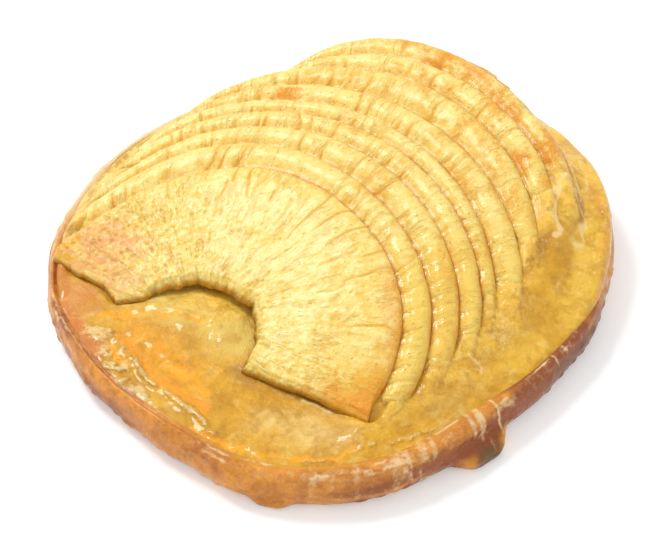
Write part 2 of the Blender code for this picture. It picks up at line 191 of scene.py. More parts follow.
@dataclass(frozen=True)
class Spot:
    """Soft oval patch on a surface, in mm."""

    x: float
    y: float
    radius: float
    strength: float = 1.0
    stretch: float = 1.0
    turn: float = 0.0

    def mask(self, x: Array, y: Array) -> Array:
        """Strength of the patch at each place.

        Args:
            x: First coordinates in mm.
            y: Second coordinates in mm.

        Returns:
            Values from 0 to the patch's strength.
        """
        turn = math.radians(self.turn)
        along = (x - self.x) * math.cos(turn) + (y - self.y) * math.sin(turn)
        aside = (y - self.y) * math.cos(turn) - (x - self.x) * math.sin(turn)
        reach = np.hypot(along / self.stretch, aside) / self.radius
        return self.strength * np.exp(-reach ** 3)


@dataclass(frozen=True)
class Streak:
    """Soft line through a few points on a surface, in mm."""

    path: tuple[Pair, ...]
    width: float
    strength: float = 1.0

    def mask(self, x: Array, y: Array) -> Array:
        """Strength of the line at each place.

        Args:
            x: First coordinates in mm.
            y: Second coordinates in mm.

        Returns:
            Values from 0 to the line's strength.
        """
        nearest = np.full(np.shape(x), 1e9)
        for (ax, ay), (bx, by) in zip(self.path, self.path[1:]):
            span = max((bx - ax) ** 2 + (by - ay) ** 2, 1e-9)
            part = unit(((x - ax) * (bx - ax) + (y - ay) * (by - ay)) / span)
            nearest = np.minimum(nearest, np.hypot(x - ax - part * (bx - ax), y - ay - part * (by - ay)))
        return self.strength * np.exp(-(nearest / self.width) ** 2)


Strokes = tuple[Spot | Streak, ...]


def painted(marks: Sequence[Spot | Streak], x: Array, y: Array) -> Array:
    """Strongest of several marks at each place.

    Args:
        marks: The patches and lines.
        x: First coordinates in mm.
        y: Second coordinates in mm.

    Returns:
        Values from 0 to 1.
    """
    total = np.zeros(np.shape(x))
    for mark in marks:
        total = np.maximum(total, mark.mask(x, y))
    return unit(total)


# ------------------------------------------------------------------ mesh making
@dataclass
class Skin:
    """Closed net of points in mm: rings of equal length, one behind the other."""

    rings: Array
    marks: dict[str, Array]

    def faces(self) -> list[tuple[int, ...]]:
        """Quads between the rings, and a cap at each open end.

        Returns:
            Faces as tuples of point numbers.
        """
        rows, count = self.rings.shape[:2]
        number = np.arange(rows * count).reshape(rows, count)
        ahead = np.roll(number, -1, axis=1)
        quads = joined(number[:-1], ahead[:-1], ahead[1:], number[1:])
        faces = [tuple(quad) for quad in quads.reshape(-1, 4).tolist()]
        faces.append(tuple(reversed(number[0].tolist())))
        faces.append(tuple(number[-1].tolist()))
        return faces

    def build(self, name: str, middle: Pair) -> Piece:
        """Make the object, with every mark as a named value on its points.

        Args:
            name: Name of the object.
            middle: Point in mm that is set on the origin.

        Returns:
            The new object, in the scene.
        """
        mesh = bpy.data.meshes.new(name)
        points = (self.rings.reshape(-1, 3) - (middle[0], middle[1], 0.0)) * MM
        mesh.from_pydata(points.tolist(), [], self.faces())
        for label, values in self.marks.items():
            layer = mesh.attributes.new(label, "FLOAT_VECTOR", "POINT")
            layer.data.foreach_set("vector", values.reshape(-1).astype(np.float32))
        mesh.shade_smooth()
        mesh.update()
        thing = bpy.data.objects.new(name, mesh)
        bpy.context.scene.collection.objects.link(thing)
        return thing


class Slot(Enum):
    """Material slots of the record."""

    CRUST = "crust_baked"
    CUSTARD = "custard"
    APPLE = "apple_flesh"


def fill_piece(thing: Piece, node: str, material: Material) -> None:
    """Put a piece in the place of its solid, in its finish.

    Args:
        thing: The piece.
        node: Name of the solid that it stands for.
        material: The finish.
    """
    thing.data.materials.append(material)
    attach(thing, "root")
    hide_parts(node)
    LOG.info("%s: %d faces", thing.name, len(thing.data.polygons))


# ------------------------------------------------------------------ shader nets
class Net:
    """Short way to write the nodes of a material or a node group."""

    def __init__(self, tree: Tree) -> None:
        """Keep the node tree that the nodes are added to."""
        self.tree = tree

    def node(self, kind: str, inputs: dict[str | int, object] | None = None, **settings: object) -> Node:
        """Add a node.

        Args:
            kind: Blender's name of the node type.
            inputs: Value or linked socket for each named or numbered input.
            settings: Properties of the node itself.

        Returns:
            The new node.
        """
        made = self.tree.nodes.new(kind)
        for key, value in settings.items():
            setattr(made, key, value)
        for key, value in (inputs or {}).items():
            self.feed(made.inputs[key], value)
        return made

    def feed(self, socket: Socket, value: object) -> None:
        """Link a socket to another, or set its value."""
        if isinstance(value, Socket):
            self.tree.links.new(value, socket)
        elif isinstance(value, tuple) and len(value) == 3 and socket.type == "RGBA":
            socket.default_value = (*value, 1.0)
        else:
            socket.default_value = value

    def maths(self, operation: str, first: object, second: object = 0.0) -> Socket:
        """Output of a Math node on two values."""
        return self.node("ShaderNodeMath", {0: first, 1: second}, operation=operation).outputs[0]

    def plus(self, first: object, second: object) -> Socket:
        """Sum of two values."""
        return self.maths("ADD", first, second)

    def minus(self, first: object, second: object) -> Socket:
        """Difference of two values."""
        return self.maths("SUBTRACT", first, second)

    def times(self, first: object, second: object) -> Socket:
        """Product of two values."""
        return self.maths("MULTIPLY", first, second)

    def ramp(self, value: object, low: float, high: float, least: float = 0.0, most: float = 1.0) -> Socket:
        """Smooth step of a value.

        Args:
            value: Socket that holds the value.
            low: Value at which the step begins.
            high: Value at which it ends.
            least: Result at the beginning.
            most: Result at the end.

        Returns:
            Socket with the stepped value.
        """
        inputs = {"Value": value, "From Min": low, "From Max": high, "To Min": least, "To Max": most}
        return self.node("ShaderNodeMapRange", inputs, interpolation_type="SMOOTHSTEP").outputs["Result"]

    def blend(self, under: object, over: object, share: object) -> Socket:
        """Lay one colour over another.

        Args:
            under: Colour or socket below.
            over: Colour or socket on top.
            share: How much of the top one shows, 0 to 1.

        Returns:
            Socket with the new colour.
        """
        made = self.node("ShaderNodeMix", {"Factor": share}, data_type="RGBA")
        self.feed(made.inputs[6], under)
        self.feed(made.inputs[7], over)
        return made.outputs[2]

    def noise(self, place: object, scale: float, detail: float = 3.0, rough: float = 0.55,
              warp: float = 0.0) -> Socket:
        """Cloudy noise.

        Args:
            place: Socket with the coordinates.
            scale: Clouds to one unit of them.
            detail: How many finer sizes are added.
            rough: Strength of the finer sizes.
            warp: How far the clouds are twisted.

        Returns:
            Socket with values from 0 to 1.
        """
        inputs = {"Vector": place, "Scale": scale, "Detail": detail, "Roughness": rough, "Distortion": warp}
        return self.node("ShaderNodeTexNoise", inputs).outputs["Fac"]

    def bump(self, height: object, strength: float, distance: float) -> Socket:
        """Normal that leans with a height, whose unit stands for a distance in metres."""
        inputs = {"Strength": strength, "Distance": distance, "Height": height}
        return self.node("ShaderNodeBump", inputs).outputs["Normal"]

    def marks(self, name: str) -> tuple[Socket, Socket, Socket]:
        """Three values that a mesh holds under one name.

        Args:
            name: Name of the values.

        Returns:
            One socket for each of the three.
        """
        source = self.node("ShaderNodeAttribute", attribute_name=name)
        parts = self.node("ShaderNodeSeparateXYZ", {0: source.outputs["Vector"]})
        return parts.outputs[0], parts.outputs[1], parts.outputs[2]

    def place_mm(self) -> Socket:
        """Coordinates on the object, in mm."""
        source = self.node("ShaderNodeTexCoord").outputs["Object"]
        return self.node("ShaderNodeVectorMath", {0: source, "Scale": 1000.0}, operation="SCALE").outputs[0]


class GroupMaker:
    """Node groups that several finishes share."""

    def __init__(self) -> None:
        """Build every group once."""
        self.patch = self.make_patch()
        self.pores = self.make_pores()
        self.grain = self.make_grain()

    @staticmethod
    def start(name: str, ins: Sequence[tuple[str, str, object]],
              outs: Sequence[tuple[str, str]]) -> tuple[Net, Node, Node]:
        """Begin a group with its sockets.

        Args:
            name: Name of the group.
            ins: Name, socket type and first value of each input.
            outs: Name and socket type of each output.

        Returns:
            The net, its input node and its output node.
        """
        tree = bpy.data.node_groups.new(name, "ShaderNodeTree")
        for label, kind, value in ins:
            socket = tree.interface.new_socket(label, in_out="INPUT", socket_type=kind)
            if value is not None:
                socket.default_value = value
        for label, kind in outs:
            tree.interface.new_socket(label, in_out="OUTPUT", socket_type=kind)
        return Net(tree), tree.nodes.new("NodeGroupInput"), tree.nodes.new("NodeGroupOutput")

    def make_patch(self) -> Tree:
        """Colour laid over another where a mask and a ragged noise allow it.

        Returns:
            The group, with the output Colour.
        """
        grey = (0.5, 0.5, 0.5, 1.0)
        net, source, sink = self.start(
            "ragged_patch",
            (("Under", "NodeSocketColor", grey), ("Over", "NodeSocketColor", grey),
             ("Mask", "NodeSocketFloat", 0.0), ("Place", "NodeSocketVector", None),
             ("Scale", "NodeSocketFloat", 0.5), ("Ragged", "NodeSocketFloat", 0.5)),
            (("Colour", "NodeSocketColor"),))
        cloud = net.node("ShaderNodeTexNoise", {
            "Vector": source.outputs["Place"], "Scale": source.outputs["Scale"],
            "Detail": 5.0, "Roughness": 0.6})
        offset = net.times(net.minus(cloud.outputs["Fac"], 0.5), source.outputs["Ragged"])
        raised = net.plus(source.outputs["Mask"], net.times(offset, 2.0))
        gate = net.ramp(source.outputs["Mask"], 0.01, 0.12)
        mask = net.times(net.ramp(raised, 0.08, 0.92), gate)
        colour = net.blend(source.outputs["Under"], source.outputs["Over"], mask)
        net.feed(sink.inputs["Colour"], colour)
        return net.tree

    def make_pores(self) -> Tree:
        """Scattered small soft pits.

        Returns:
            The group, with the output Mask, 1 in the middle of a pit.
        """
        net, source, sink = self.start(
            "soft_pits",
            (("Place", "NodeSocketVector", None), ("Scale", "NodeSocketFloat", 1.0),
             ("Size", "NodeSocketFloat", 0.3), ("Share", "NodeSocketFloat", 0.5)),
            (("Mask", "NodeSocketFloat"),))
        place, scale = source.outputs["Place"], source.outputs["Scale"]
        twist = net.node("ShaderNodeTexNoise", {"Vector": place, "Scale": 0.9, "Detail": 2.0})
        shift = net.node("ShaderNodeVectorMath", {0: twist.outputs["Color"], "Scale": 0.9},
                         operation="SCALE").outputs[0]
        moved = net.node("ShaderNodeVectorMath", {0: place, 1: shift}, operation="ADD").outputs[0]
        cells = net.node("ShaderNodeTexVoronoi", {"Vector": moved, "Scale": scale})
        near = net.minus(1.0, net.maths("DIVIDE", cells.outputs["Distance"], source.outputs["Size"]))
        parts = net.node("ShaderNodeSeparateColor", {0: cells.outputs["Color"]})
        kept = net.maths("LESS_THAN", parts.outputs[0], source.outputs["Share"])
        net.feed(sink.inputs["Mask"], net.times(net.ramp(near, 0.0, 0.8), kept))
        return net.tree

    def make_grain(self) -> Tree:
        """Wavering lines that run across a slice, from its round side to its core.

        Returns:
            The group, with the outputs Lines (1 on a line) and Cloud.
        """
        net, source, sink = self.start(
            "flesh_lines",
            (("Place", "NodeSocketVector", None), ("Spacing", "NodeSocketFloat", 2.5),
             ("Width", "NodeSocketFloat", 0.1), ("Waver", "NodeSocketFloat", 0.25)),
            (("Lines", "NodeSocketFloat"), ("Cloud", "NodeSocketFloat")))
        parts = net.node("ShaderNodeSeparateXYZ", {0: source.outputs["Place"]})
        waver = net.noise(source.outputs["Place"], 0.35, 3.0)
        aside = net.times(net.minus(waver, 0.5), net.times(source.outputs["Waver"], 8.0))
        along = net.maths("DIVIDE", net.plus(parts.outputs[0], aside), source.outputs["Spacing"])
        across = net.times(parts.outputs[1], 0.055)
        bent = net.node("ShaderNodeCombineXYZ", {0: along, 1: across, 2: parts.outputs[2]}).outputs[0]
        wave = net.noise(bent, 1.0, 4.0, 0.62)
        off = net.maths("ABSOLUTE", net.minus(wave, 0.5))
        line = net.ramp(net.maths("DIVIDE", off, source.outputs["Width"]), 1.0, 0.0)
        net.feed(sink.inputs["Lines"], line)
        net.feed(sink.inputs["Cloud"], net.noise(bent, 2.6, 3.0))
        return net.tree

    @staticmethod
    def place(net: Net, group: Tree, inputs: dict[str, object]) -> Node:
        """Add a group node and feed its inputs.

        Args:
            net: The net to add it to.
            group: The group.
            inputs: Value or socket for each named input.

        Returns:
            The group node.
        """
        made = net.tree.nodes.new("ShaderNodeGroup")
        made.node_tree = group
        for key, value in inputs.items():
            net.feed(made.inputs[key], value)
        return made

    def layers(self, net: Net, colour: Socket, place: Socket, layers: Sequence[Layer]) -> Socket:
        """Lay ragged patches of colour over each other.

        Args:
            net: The net to add them to.
            colour: Colour below them all.
            place: Coordinates in mm.
            layers: Colour, mask, clouds to one mm and raggedness of each patch, the lowest first.

        Returns:
            Socket with the colour on top.
        """
        for over, mask, scale, ragged in layers:
            inputs = {"Under": colour, "Over": over, "Mask": mask, "Place": place,
                      "Scale": scale, "Ragged": ragged}
            colour = self.place(net, self.patch, inputs).outputs["Colour"]
        return colour


def open_material(name: str) -> tuple[Material, Net, Node]:
    """Begin a material.

    Args:
        name: Name of the material.

    Returns:
        The material, its net and its Principled shader.
    """
    material = bpy.data.materials.new(name)
    material.use_nodes = True
    return material, Net(material.node_tree), material.node_tree.nodes["Principled BSDF"]


def set_sockets(shader: Node, values: dict[str, float | tuple[float, ...]]) -> None:
    """Set the sockets of a shader that are the same all over the surface."""
    for name, value in values.items():
        shader.inputs[name].default_value = value


@dataclass(frozen=True)
class AppleFinish:
    """Baked apple: pale yellow flesh with golden lines, browned where it is thin; painted groove shade and
    crest highlights.
    """

    name: str = "baked_apple"
    pale: Colour = (0.94, 0.80, 0.31)
    flesh: Colour = (0.88, 0.59, 0.105)
    golden: Colour = (0.81, 0.44, 0.035)
    ochre: Colour = (0.80, 0.38, 0.025)
    brown: Colour = (0.72, 0.30, 0.018)
    burnt: Colour = (0.80, 0.33, 0.02)
    rosy: Colour = (0.85, 0.43, 0.14)
    olive: Colour = (0.46, 0.43, 0.12)
    glazed: Colour = (0.90, 0.61, 0.10)
    line_spacing: float = 2.4
    fine_spacing: float = 1.3

    def material(self, groups: GroupMaker) -> Material:
        """Build the material.

        Args:
            groups: The shared node groups.

        Returns:
            The material.
        """
        made, net, shader = open_material(self.name)
        grain = net.node("ShaderNodeAttribute", attribute_name="grain").outputs["Vector"]
        browned, burnt, rosy = net.marks("toasting")
        groove, green, light = net.marks("edging")
        glazed, gritty, crack = net.marks("wetness")
        place = net.place_mm()
        lines = groups.place(net, groups.grain, {
            "Place": grain, "Spacing": self.line_spacing, "Width": 0.045, "Waver": 0.22})
        fine = groups.place(net, groups.grain, {
            "Place": grain, "Spacing": self.fine_spacing, "Width": 0.06, "Waver": 0.16})
        pores = groups.place(net, groups.pores, {"Place": grain, "Scale": 0.8, "Size": 0.32, "Share": 0.4})
        crumbs = groups.place(net, groups.pores, {"Place": place, "Scale": 1.5, "Size": 0.5, "Share": 0.6})
        cloud = net.ramp(net.noise(place, 0.14, 4.0), 0.36, 0.64)
        mottle = net.ramp(net.noise(place, 0.6, 5.0, 0.65), 0.40, 0.62)
        speck = net.ramp(net.noise(place, 1.7, 4.0, 0.65), 0.42, 0.62)
        base = net.plus(net.times(cloud, 0.25), net.times(mottle, 0.50))
        colour = net.blend(self.pale, self.flesh, net.plus(base, net.times(speck, 0.40)))
        colour = net.blend(colour, self.flesh, net.times(net.ramp(lines.outputs["Cloud"], 0.52, 0.36), 0.3))
        # Painted highlight: paler colour on the crest of each bare strip.
        colour = net.blend(colour, self.pale, net.times(light, 0.55))
        kept = net.ramp(net.noise(grain, 0.22, 2.0), 0.42, 0.58)
        strong = net.times(net.times(lines.outputs["Lines"], kept), 0.6)
        lined = net.maths("MAXIMUM", net.times(fine.outputs["Lines"], 0.14), strong)
        colour = net.blend(colour, self.golden, lined)
        colour = net.blend(colour, self.golden, net.times(pores.outputs["Mask"], 0.4))
        colour = net.blend(colour, self.ochre, net.times(net.ramp(crack, 0.06, 0.8), 0.8))
        grit = net.times(gritty, net.ramp(net.noise(place, 1.15, 3.0), 0.50, 0.64))
        colour = net.blend(colour, self.golden, net.times(grit, 0.85))
        colour = net.blend(colour, self.pale, net.times(net.times(gritty, crumbs.outputs["Mask"]), 0.6))
        # The last layer puts brown on the groove mark: browned edges and painted shade in the grooves
        # between slices.
        colour = groups.layers(net, colour, place, (
            (self.glazed, glazed, 0.35, 0.5),
            (self.rosy, rosy, 0.5, 0.8),
            (self.golden, browned, 0.5, 0.7),
            (self.burnt, burnt, 0.6, 0.7),
            (self.olive, green, 0.9, 0.9),
            (self.brown, groove, 0.9, 0.35)))
        net.feed(shader.inputs["Base Color"], colour)
        wet = net.noise(place, 0.45, 3.0)
        net.feed(shader.inputs["Roughness"], net.ramp(wet, 0.3, 0.7, 0.36, 0.56))
        net.feed(shader.inputs["Coat Weight"], net.plus(0.18, net.times(glazed, 0.32)))
        set_sockets(shader, {
            "Subsurface Weight": 0.35,
            "Subsurface Radius": (1.0, 0.6, 0.2),
            "Subsurface Scale": 0.0022,
            "Coat Roughness": 0.12,
            "Specular IOR Level": 0.35})
        height = net.plus(net.noise(place, 1.0, 5.0, 0.65), net.times(net.noise(place, 3.0, 3.0), 0.3))
        height = net.minus(height, net.times(strong, 0.5))
        height = net.minus(height, net.times(pores.outputs["Mask"], 0.5))
        net.feed(shader.inputs["Normal"], net.bump(height, 0.8, 0.0006))
        return made


@dataclass(frozen=True)
class CustardFinish:
    """Baked custard: golden and glossy, olive where it is deep, amber and cream where it browned; painted
    shade and glints.
    """

    name: str = "baked_custard"
    gold: Colour = (0.47, 0.208, 0.004)
    bright: Colour = (0.77, 0.410, 0.018)
    olive: Colour = (0.72, 0.485, 0.085)
    amber: Colour = (0.92, 0.38, 0.0)
    orange: Colour = (0.86, 0.33, 0.008)
    cream: Colour = (0.94, 0.68, 0.30)
    tan: Colour = (0.62, 0.205, 0.028)
    # Colour of the painted shade.
    shade: Colour = (0.47, 0.225, 0.022)
    veil: Colour = (0.84, 0.51, 0.06)
    pale: Colour = (0.87, 0.65, 0.22)
    fruit: Colour = (0.91, 0.59, 0.11)
    line: Colour = (0.50, 0.24, 0.03)
    # Pale colour of the glaze threads and of the painted glints.
    glaze: Colour = (0.95, 0.73, 0.34)

    def material(self, groups: GroupMaker) -> Material:
        """Build the material.

        Args:
            groups: The shared node groups.

        Returns:
            The material.
        """
        made, net, shader = open_material(self.name)
        deep, amber, orange = net.marks("depth")
        cream, tan, pale = net.marks("skin")
        shaded, granular, climbing = net.marks("shade")
        fruit, line, glaze_and_glint = net.marks("fruit")
        place = net.place_mm()
        cloud = net.ramp(net.noise(place, 0.12, 5.0, 0.6, 0.6), 0.34, 0.66)
        mottle = net.ramp(net.noise(place, 0.6, 5.0, 0.65), 0.38, 0.66)
        share = net.plus(net.times(cloud, 0.55), net.times(mottle, 0.2))
        colour = net.blend(self.gold, self.bright, net.plus(share, 0.15))
        grains = groups.place(net, groups.pores, {"Place": place, "Scale": 1.1, "Size": 0.5, "Share": 0.6})
        colour = groups.layers(net, colour, place, (
            (self.olive, deep, 0.15, 0.25),
            (self.veil, climbing, 0.5, 0.3),
            (self.pale, pale, 0.3, 0.4),
            (self.fruit, fruit, 0.6, 0.7),
            # groove brown and painted groove shade, run on from the slices
            (self.line, line, 0.8, 0.3),
            (self.orange, orange, 0.4, 0.5),
            (self.amber, amber, 0.5, 0.5),
            (self.tan, tan, 0.3, 0.4),
            # painted shade
            (self.shade, shaded, 0.9, 0.6),
            (self.cream, cream, 1.7, 0.8)))
        thick = net.ramp(net.noise(place, 0.3, 5.0, 0.6, 0.5), 0.53, 0.64)
        colour = net.blend(colour, self.pale, net.times(thick, 0.22))
        thin = net.ramp(net.noise(place, 0.24, 5.0, 0.6, 0.5), 0.52, 0.38)
        colour = net.blend(colour, self.gold, net.times(thin, 0.42))
        colour = net.blend(colour, self.pale, net.times(net.times(grains.outputs["Mask"], granular), 0.7))
        # Glaze threads and painted glints in the pale glaze colour.
        colour = net.blend(colour, self.glaze, net.times(net.ramp(glaze_and_glint, 0.15, 0.75), 0.6))
        net.feed(shader.inputs["Base Color"], colour)
        net.feed(shader.inputs["Roughness"], net.plus(0.25, net.times(cream, 0.2)))
        net.feed(shader.inputs["Coat Weight"], net.minus(0.38, net.times(climbing, 0.30)))
        set_sockets(shader, {
            "Subsurface Weight": 0.2,
            "Subsurface Radius": (1.0, 0.5, 0.12),
            "Subsurface Scale": 0.002,
            "Coat Roughness": 0.07,
            "Specular IOR Level": 0.22})
        height = net.plus(net.noise(place, 0.7, 5.0, 0.6), net.times(granular, net.noise(place, 2.2, 3.0)))
        height = net.plus(height, net.times(net.times(cream, 2.5), net.noise(place, 2.2, 4.0)))
        net.feed(shader.inputs["Normal"], net.bump(height, 0.75, 0.0006))
        return made


@dataclass(frozen=True)
class CrustFinish:
    """Baked pastry: glossy orange brown, deeper in folds, pale where little heat reached it, with painted
    highlight streaks.
    """

    name: str = "baked_crust"
    tan: Colour = (0.46, 0.145, 0.014)
    orange: Colour = (0.81, 0.33, 0.042)
    red: Colour = (0.31, 0.078, 0.015)
    dark: Colour = (0.20, 0.070, 0.018)
    pale: Colour = (0.86, 0.60, 0.30)
    golden: Colour = (0.70, 0.31, 0.03)
    olive: Colour = (0.15, 0.09, 0.02)

    def material(self, groups: GroupMaker) -> Material:
        """Build the material.

        Args:
            groups: The shared node groups.

        Returns:
            The material.
        """
        made, net, shader = open_material(self.name)
        red, pale, dark = net.marks("baking")
        # The drips values hold the olive drips, the painted highlights and the golden parts.
        olive, painted_highlight, golden = net.marks("drips")
        place = net.place_mm()
        cloud = net.ramp(net.noise(place, 0.16, 5.0, 0.62, 0.8), 0.38, 0.62)
        mottle = net.ramp(net.noise(place, 0.7, 5.0, 0.65, 0.5), 0.42, 0.62)
        share = net.plus(net.times(cloud, 0.5), net.plus(net.times(mottle, 0.3), 0.2))
        colour = net.blend(self.tan, self.orange, share)
        colour = groups.layers(net, colour, place, (
            (self.golden, golden, 0.5, 0.5),
            (self.red, red, 0.4, 0.5),
            # painted highlights, in the pastry's pale colour
            (self.pale, painted_highlight, 0.9, 0.8),
            (self.pale, pale, 0.25, 0.3),
            (self.dark, dark, 0.5, 0.6),
            (self.olive, olive, 0.5, 0.5)))
        flecks = groups.place(net, groups.pores, {"Place": place, "Scale": 1.0, "Size": 0.4, "Share": 0.45})
        colour = net.blend(colour, self.red, net.times(flecks.outputs["Mask"], 0.3))
        net.feed(shader.inputs["Base Color"], colour)
        net.feed(shader.inputs["Roughness"], net.ramp(net.noise(place, 0.6, 3.0), 0.3, 0.7, 0.22, 0.42))
        set_sockets(shader, {
            "Subsurface Weight": 0.08,
            "Subsurface Radius": (1.0, 0.4, 0.15),
            "Subsurface Scale": 0.001,
            "Coat Weight": 0.28,
            "Coat Roughness": 0.08,
            "Specular IOR Level": 0.22})
        height = net.plus(net.noise(place, 1.0, 6.0, 0.65), net.times(net.noise(place, 4.0, 2.0), 0.25))
        net.feed(shader.inputs["Normal"], net.bump(height, 0.8, 0.0005))
        return made


# ------------------------------------------------------------------ pastry case
@dataclass(frozen=True)
class PastryCase:
    """Low pastry case: flat foot, bulging wall, rounded crest and a floor. Sizes in mm."""

    radii: tuple[float, ...] = (54.5, 57.0, 59.0, 59.5, 59.0, 58.0, 57.0, 55.0,
                                53.0, 52.5, 53.0, 53.8, 54.6, 54.4, 53.4, 53.4,
                                54.4, 56.8, 57.0, 54.8, 51.6, 50.4, 50.8, 52.8)
    crest_height: float = 8.2
    crest_waves: tuple[tuple[float, int, float], ...] = ((0.22, 5, 40.0), (0.15, 11, 0.0))
    sink: Triple = (1.6, 176.0, 16.0)
    width: float = 3.5
    spread: Pair = (1.1, 275.0)
    fold: Triple = (0.9, 222.0, 34.0)
    outside: tuple[Triple, ...] = (
        (-2.6, 0.0, 0.0), (-1.1, 0.9, 0.15), (-0.2, 2.8, 0.35), (0.0, 4.6, 0.4))
    crest: tuple[tuple[float, float, float, float], ...] = (
        (0.08, 1.7, 0.3, 0.0), (0.25, 0.5, 0.2, 0.0), (0.5, 0.0, 0.1, 0.0), (0.75, 0.15, 0.0, 1.0),
        (1.0, 0.9, 0.0, 0.0))
    inside: tuple[Pair, ...] = ((0.4, 5.2), (1.2, 3.6), (3.0, 3.0))
    foot_inset: float = 6.5
    wall_waves: tuple[tuple[int, float], ...] = ((9, 0.0), (17, 60.0))
    drips: tuple[tuple[float, float, float, float], ...] = (
        (302.5, 6.2, 4.0, 4.6), (259.0, 3.6, 1.6, 2.2))
    columns: int = 700
    finer: int = 6
    wall_radius: float = 52.0
    outer_share: float = 0.62
    calm: tuple[Triple, ...] = ((0.7, 20.0, 70.0), (0.6, 155.0, 45.0), (0.35, 325.0, 30.0))
    lump_relief: float = 0.36
    leaf_relief: float = 0.17
    rib_relief: float = 0.20
    drip_relief: float = 0.55
    blister_relief: float = 0.26

    def outer_radius(self, angle: Array) -> Array:
        """Outer radius at an azimuth in degrees, by periodic cubics."""
        knots = np.array(self.radii)
        place = (np.asarray(angle) % 360.0) / 360.0 * len(knots)
        left = np.floor(place).astype(int)
        return cubic(*(knots[(left + step) % len(knots)] for step in (-1, 0, 1, 2)), place - left)

    def crest_at(self, angle: Array) -> Array:
        """Height of the crest at an azimuth in degrees."""
        height = self.crest_height - self.sink[0] * hump(angle, *self.sink[1:])
        for size, count, phase in self.crest_waves:
            height = height + size * np.sin(np.radians(count * angle + phase))
        return height

    def width_at(self, angle: Array) -> Array:
        """Radial width of the crest at an azimuth in degrees."""
        return self.width + self.spread[0] * np.cos(np.radians(2.0 * (angle - self.spread[1])))

    def inner_radius(self, angle: Array) -> Array:
        """Radius at which the crest turns down to the custard."""
        return self.outer_radius(angle) - self.width_at(angle)

    def drip_reach(self, angle: Array, height: float) -> Array:
        """How far the set drips stand out of the wall.

        Args:
            angle: Azimuths in degrees.
            height: Height over the foot.

        Returns:
            Distances in mm.
        """
        reach = np.zeros_like(angle)
        for azimuth, width, length, top in self.drips:
            off = (angle - azimuth + 180.0) % 360.0 - 180.0
            falling = math.sqrt(max(0.0, 1.0 - (height / top) ** 2))
            reach = reach + length * np.exp(-(off / width) ** 4) * falling
        return reach

    def profile(self, angle: Array) -> Array:
        """Radius and height of the rings from under the foot over the crest to the floor.

        Args:
            angle: Azimuths in degrees.

        Returns:
            Array of rings, azimuths and the two numbers.
        """
        radius = self.outer_radius(angle)
        width = self.width_at(angle)
        crest = self.crest_at(angle)
        fold = self.fold[0] * hump(angle, *self.fold[1:])
        waves = sum(np.sin(np.radians(count * angle + phase)) for count, phase in self.wall_waves)
        waves = waves / len(self.wall_waves)
        rings = [(radius - self.foot_inset, 0.0 * angle)]
        for outset, height, uneven in self.outside:
            reach = outset + self.drip_reach(angle, height) + uneven * waves
            rings.append((radius + reach, height + 0.0 * angle))
        for share, fall, uneven, folded in self.crest:
            rings.append((radius - share * width + uneven * waves, crest - fall - folded * fold))
        for inset, height in self.inside:
            rings.append((radius - width - inset, height + 0.0 * angle))
        return np.array([joined(*ring) for ring in rings])

    def rounded(self, rings: Array) -> Array:
        """Run smooth curves through the rings of the profile, from the wall's foot upward.

        Args:
            rings: The profile's rings.

        Returns:
            Many more rings, with the same first and last.
        """
        padded = np.concatenate([rings[:1], rings, rings[-1:]])
        made = []
        for number in range(len(rings) - 1):
            before, first, second, after = padded[number:number + 4]
            flat = number == 0
            steps = 2 if flat else self.finer
            for share in (step / steps for step in range(steps)):
                smooth = cubic(before, first, second, after, share)
                made.append(first + share * (second - first) if flat else smooth)
        made.append(rings[-1])
        return np.array(made)

    def height_at(self, angle: Array, radius: Array) -> Array:
        """Height of the crest's inner side at azimuths and radii."""
        rings = self.rounded(self.profile(angle))
        start = int(len(rings) * 0.5)
        return np.array([np.interp(place, column[::-1, 0], column[::-1, 1])
                         for place, column in zip(radius, rings[start:].transpose(1, 0, 2))])

    def relief(self, turn: Array, radius: Array, height: Array, top: Array) -> Array:
        """How far lumps, leaves, ribs, drips and blisters stand out of the case.

        Args:
            turn: Azimuths in degrees.
            radius: Radii of the smooth case.
            height: Heights of the smooth case.
            top: How near each place is to the crest, 0 to 1.

        Returns:
            Distances in mm.
        """
        arc = np.radians(turn) * self.wall_radius
        along, aside = np.cos(np.radians(turn)), np.sin(np.radians(turn))
        share = np.linspace(0.0, 1.0, len(turn))[:, None]
        outer = step_between(height, 0.1, 0.9) * (share < self.outer_share)
        around = joined(self.wall_radius * along, self.wall_radius * aside, height + 0.6 * radius)
        lumps = self.lump_relief * layered_noise(around, 5.5, 11, 4)
        seam = height * 1.1 + 1.2 * layered_noise(around, 9.0, 21, 2)
        leaves = self.leaf_relief * layered_noise(joined(along * 16.0, aside * 16.0, seam), 1.4, 31, 3)
        ribs = self.rib_relief * smooth_noise(joined(arc / 1.1, height * 0.10), 41)
        ribs = ribs * step_between(height, 1.0, 3.0) * self.ribbed(turn)
        calm = 1.0 - sum(strength * hump(turn, azimuth, width) for strength, azimuth, width in self.calm)
        relief = outer * calm * (lumps + leaves + ribs)
        dripping = hump(turn, 302.5, 8.0) * step_between(height, 4.8, 3.2)
        relief += outer * self.drip_relief * dripping * layered_noise(around, 2.4, 61, 3)
        relief = relief * (1.0 - 0.45 * top)
        blister, which = cell_pits(joined(arc, height * 1.6 + radius), 3.2, 51)
        return relief + outer * self.blister_relief * step_between(blister, 0.42, 0.1) * (which > 0.1)

    def ribbed(self, turn: Array) -> Array:
        """How ribbed the wall is at an azimuth, from 0 to 1 at the front right."""
        return hump(turn, 308.0, 34.0)

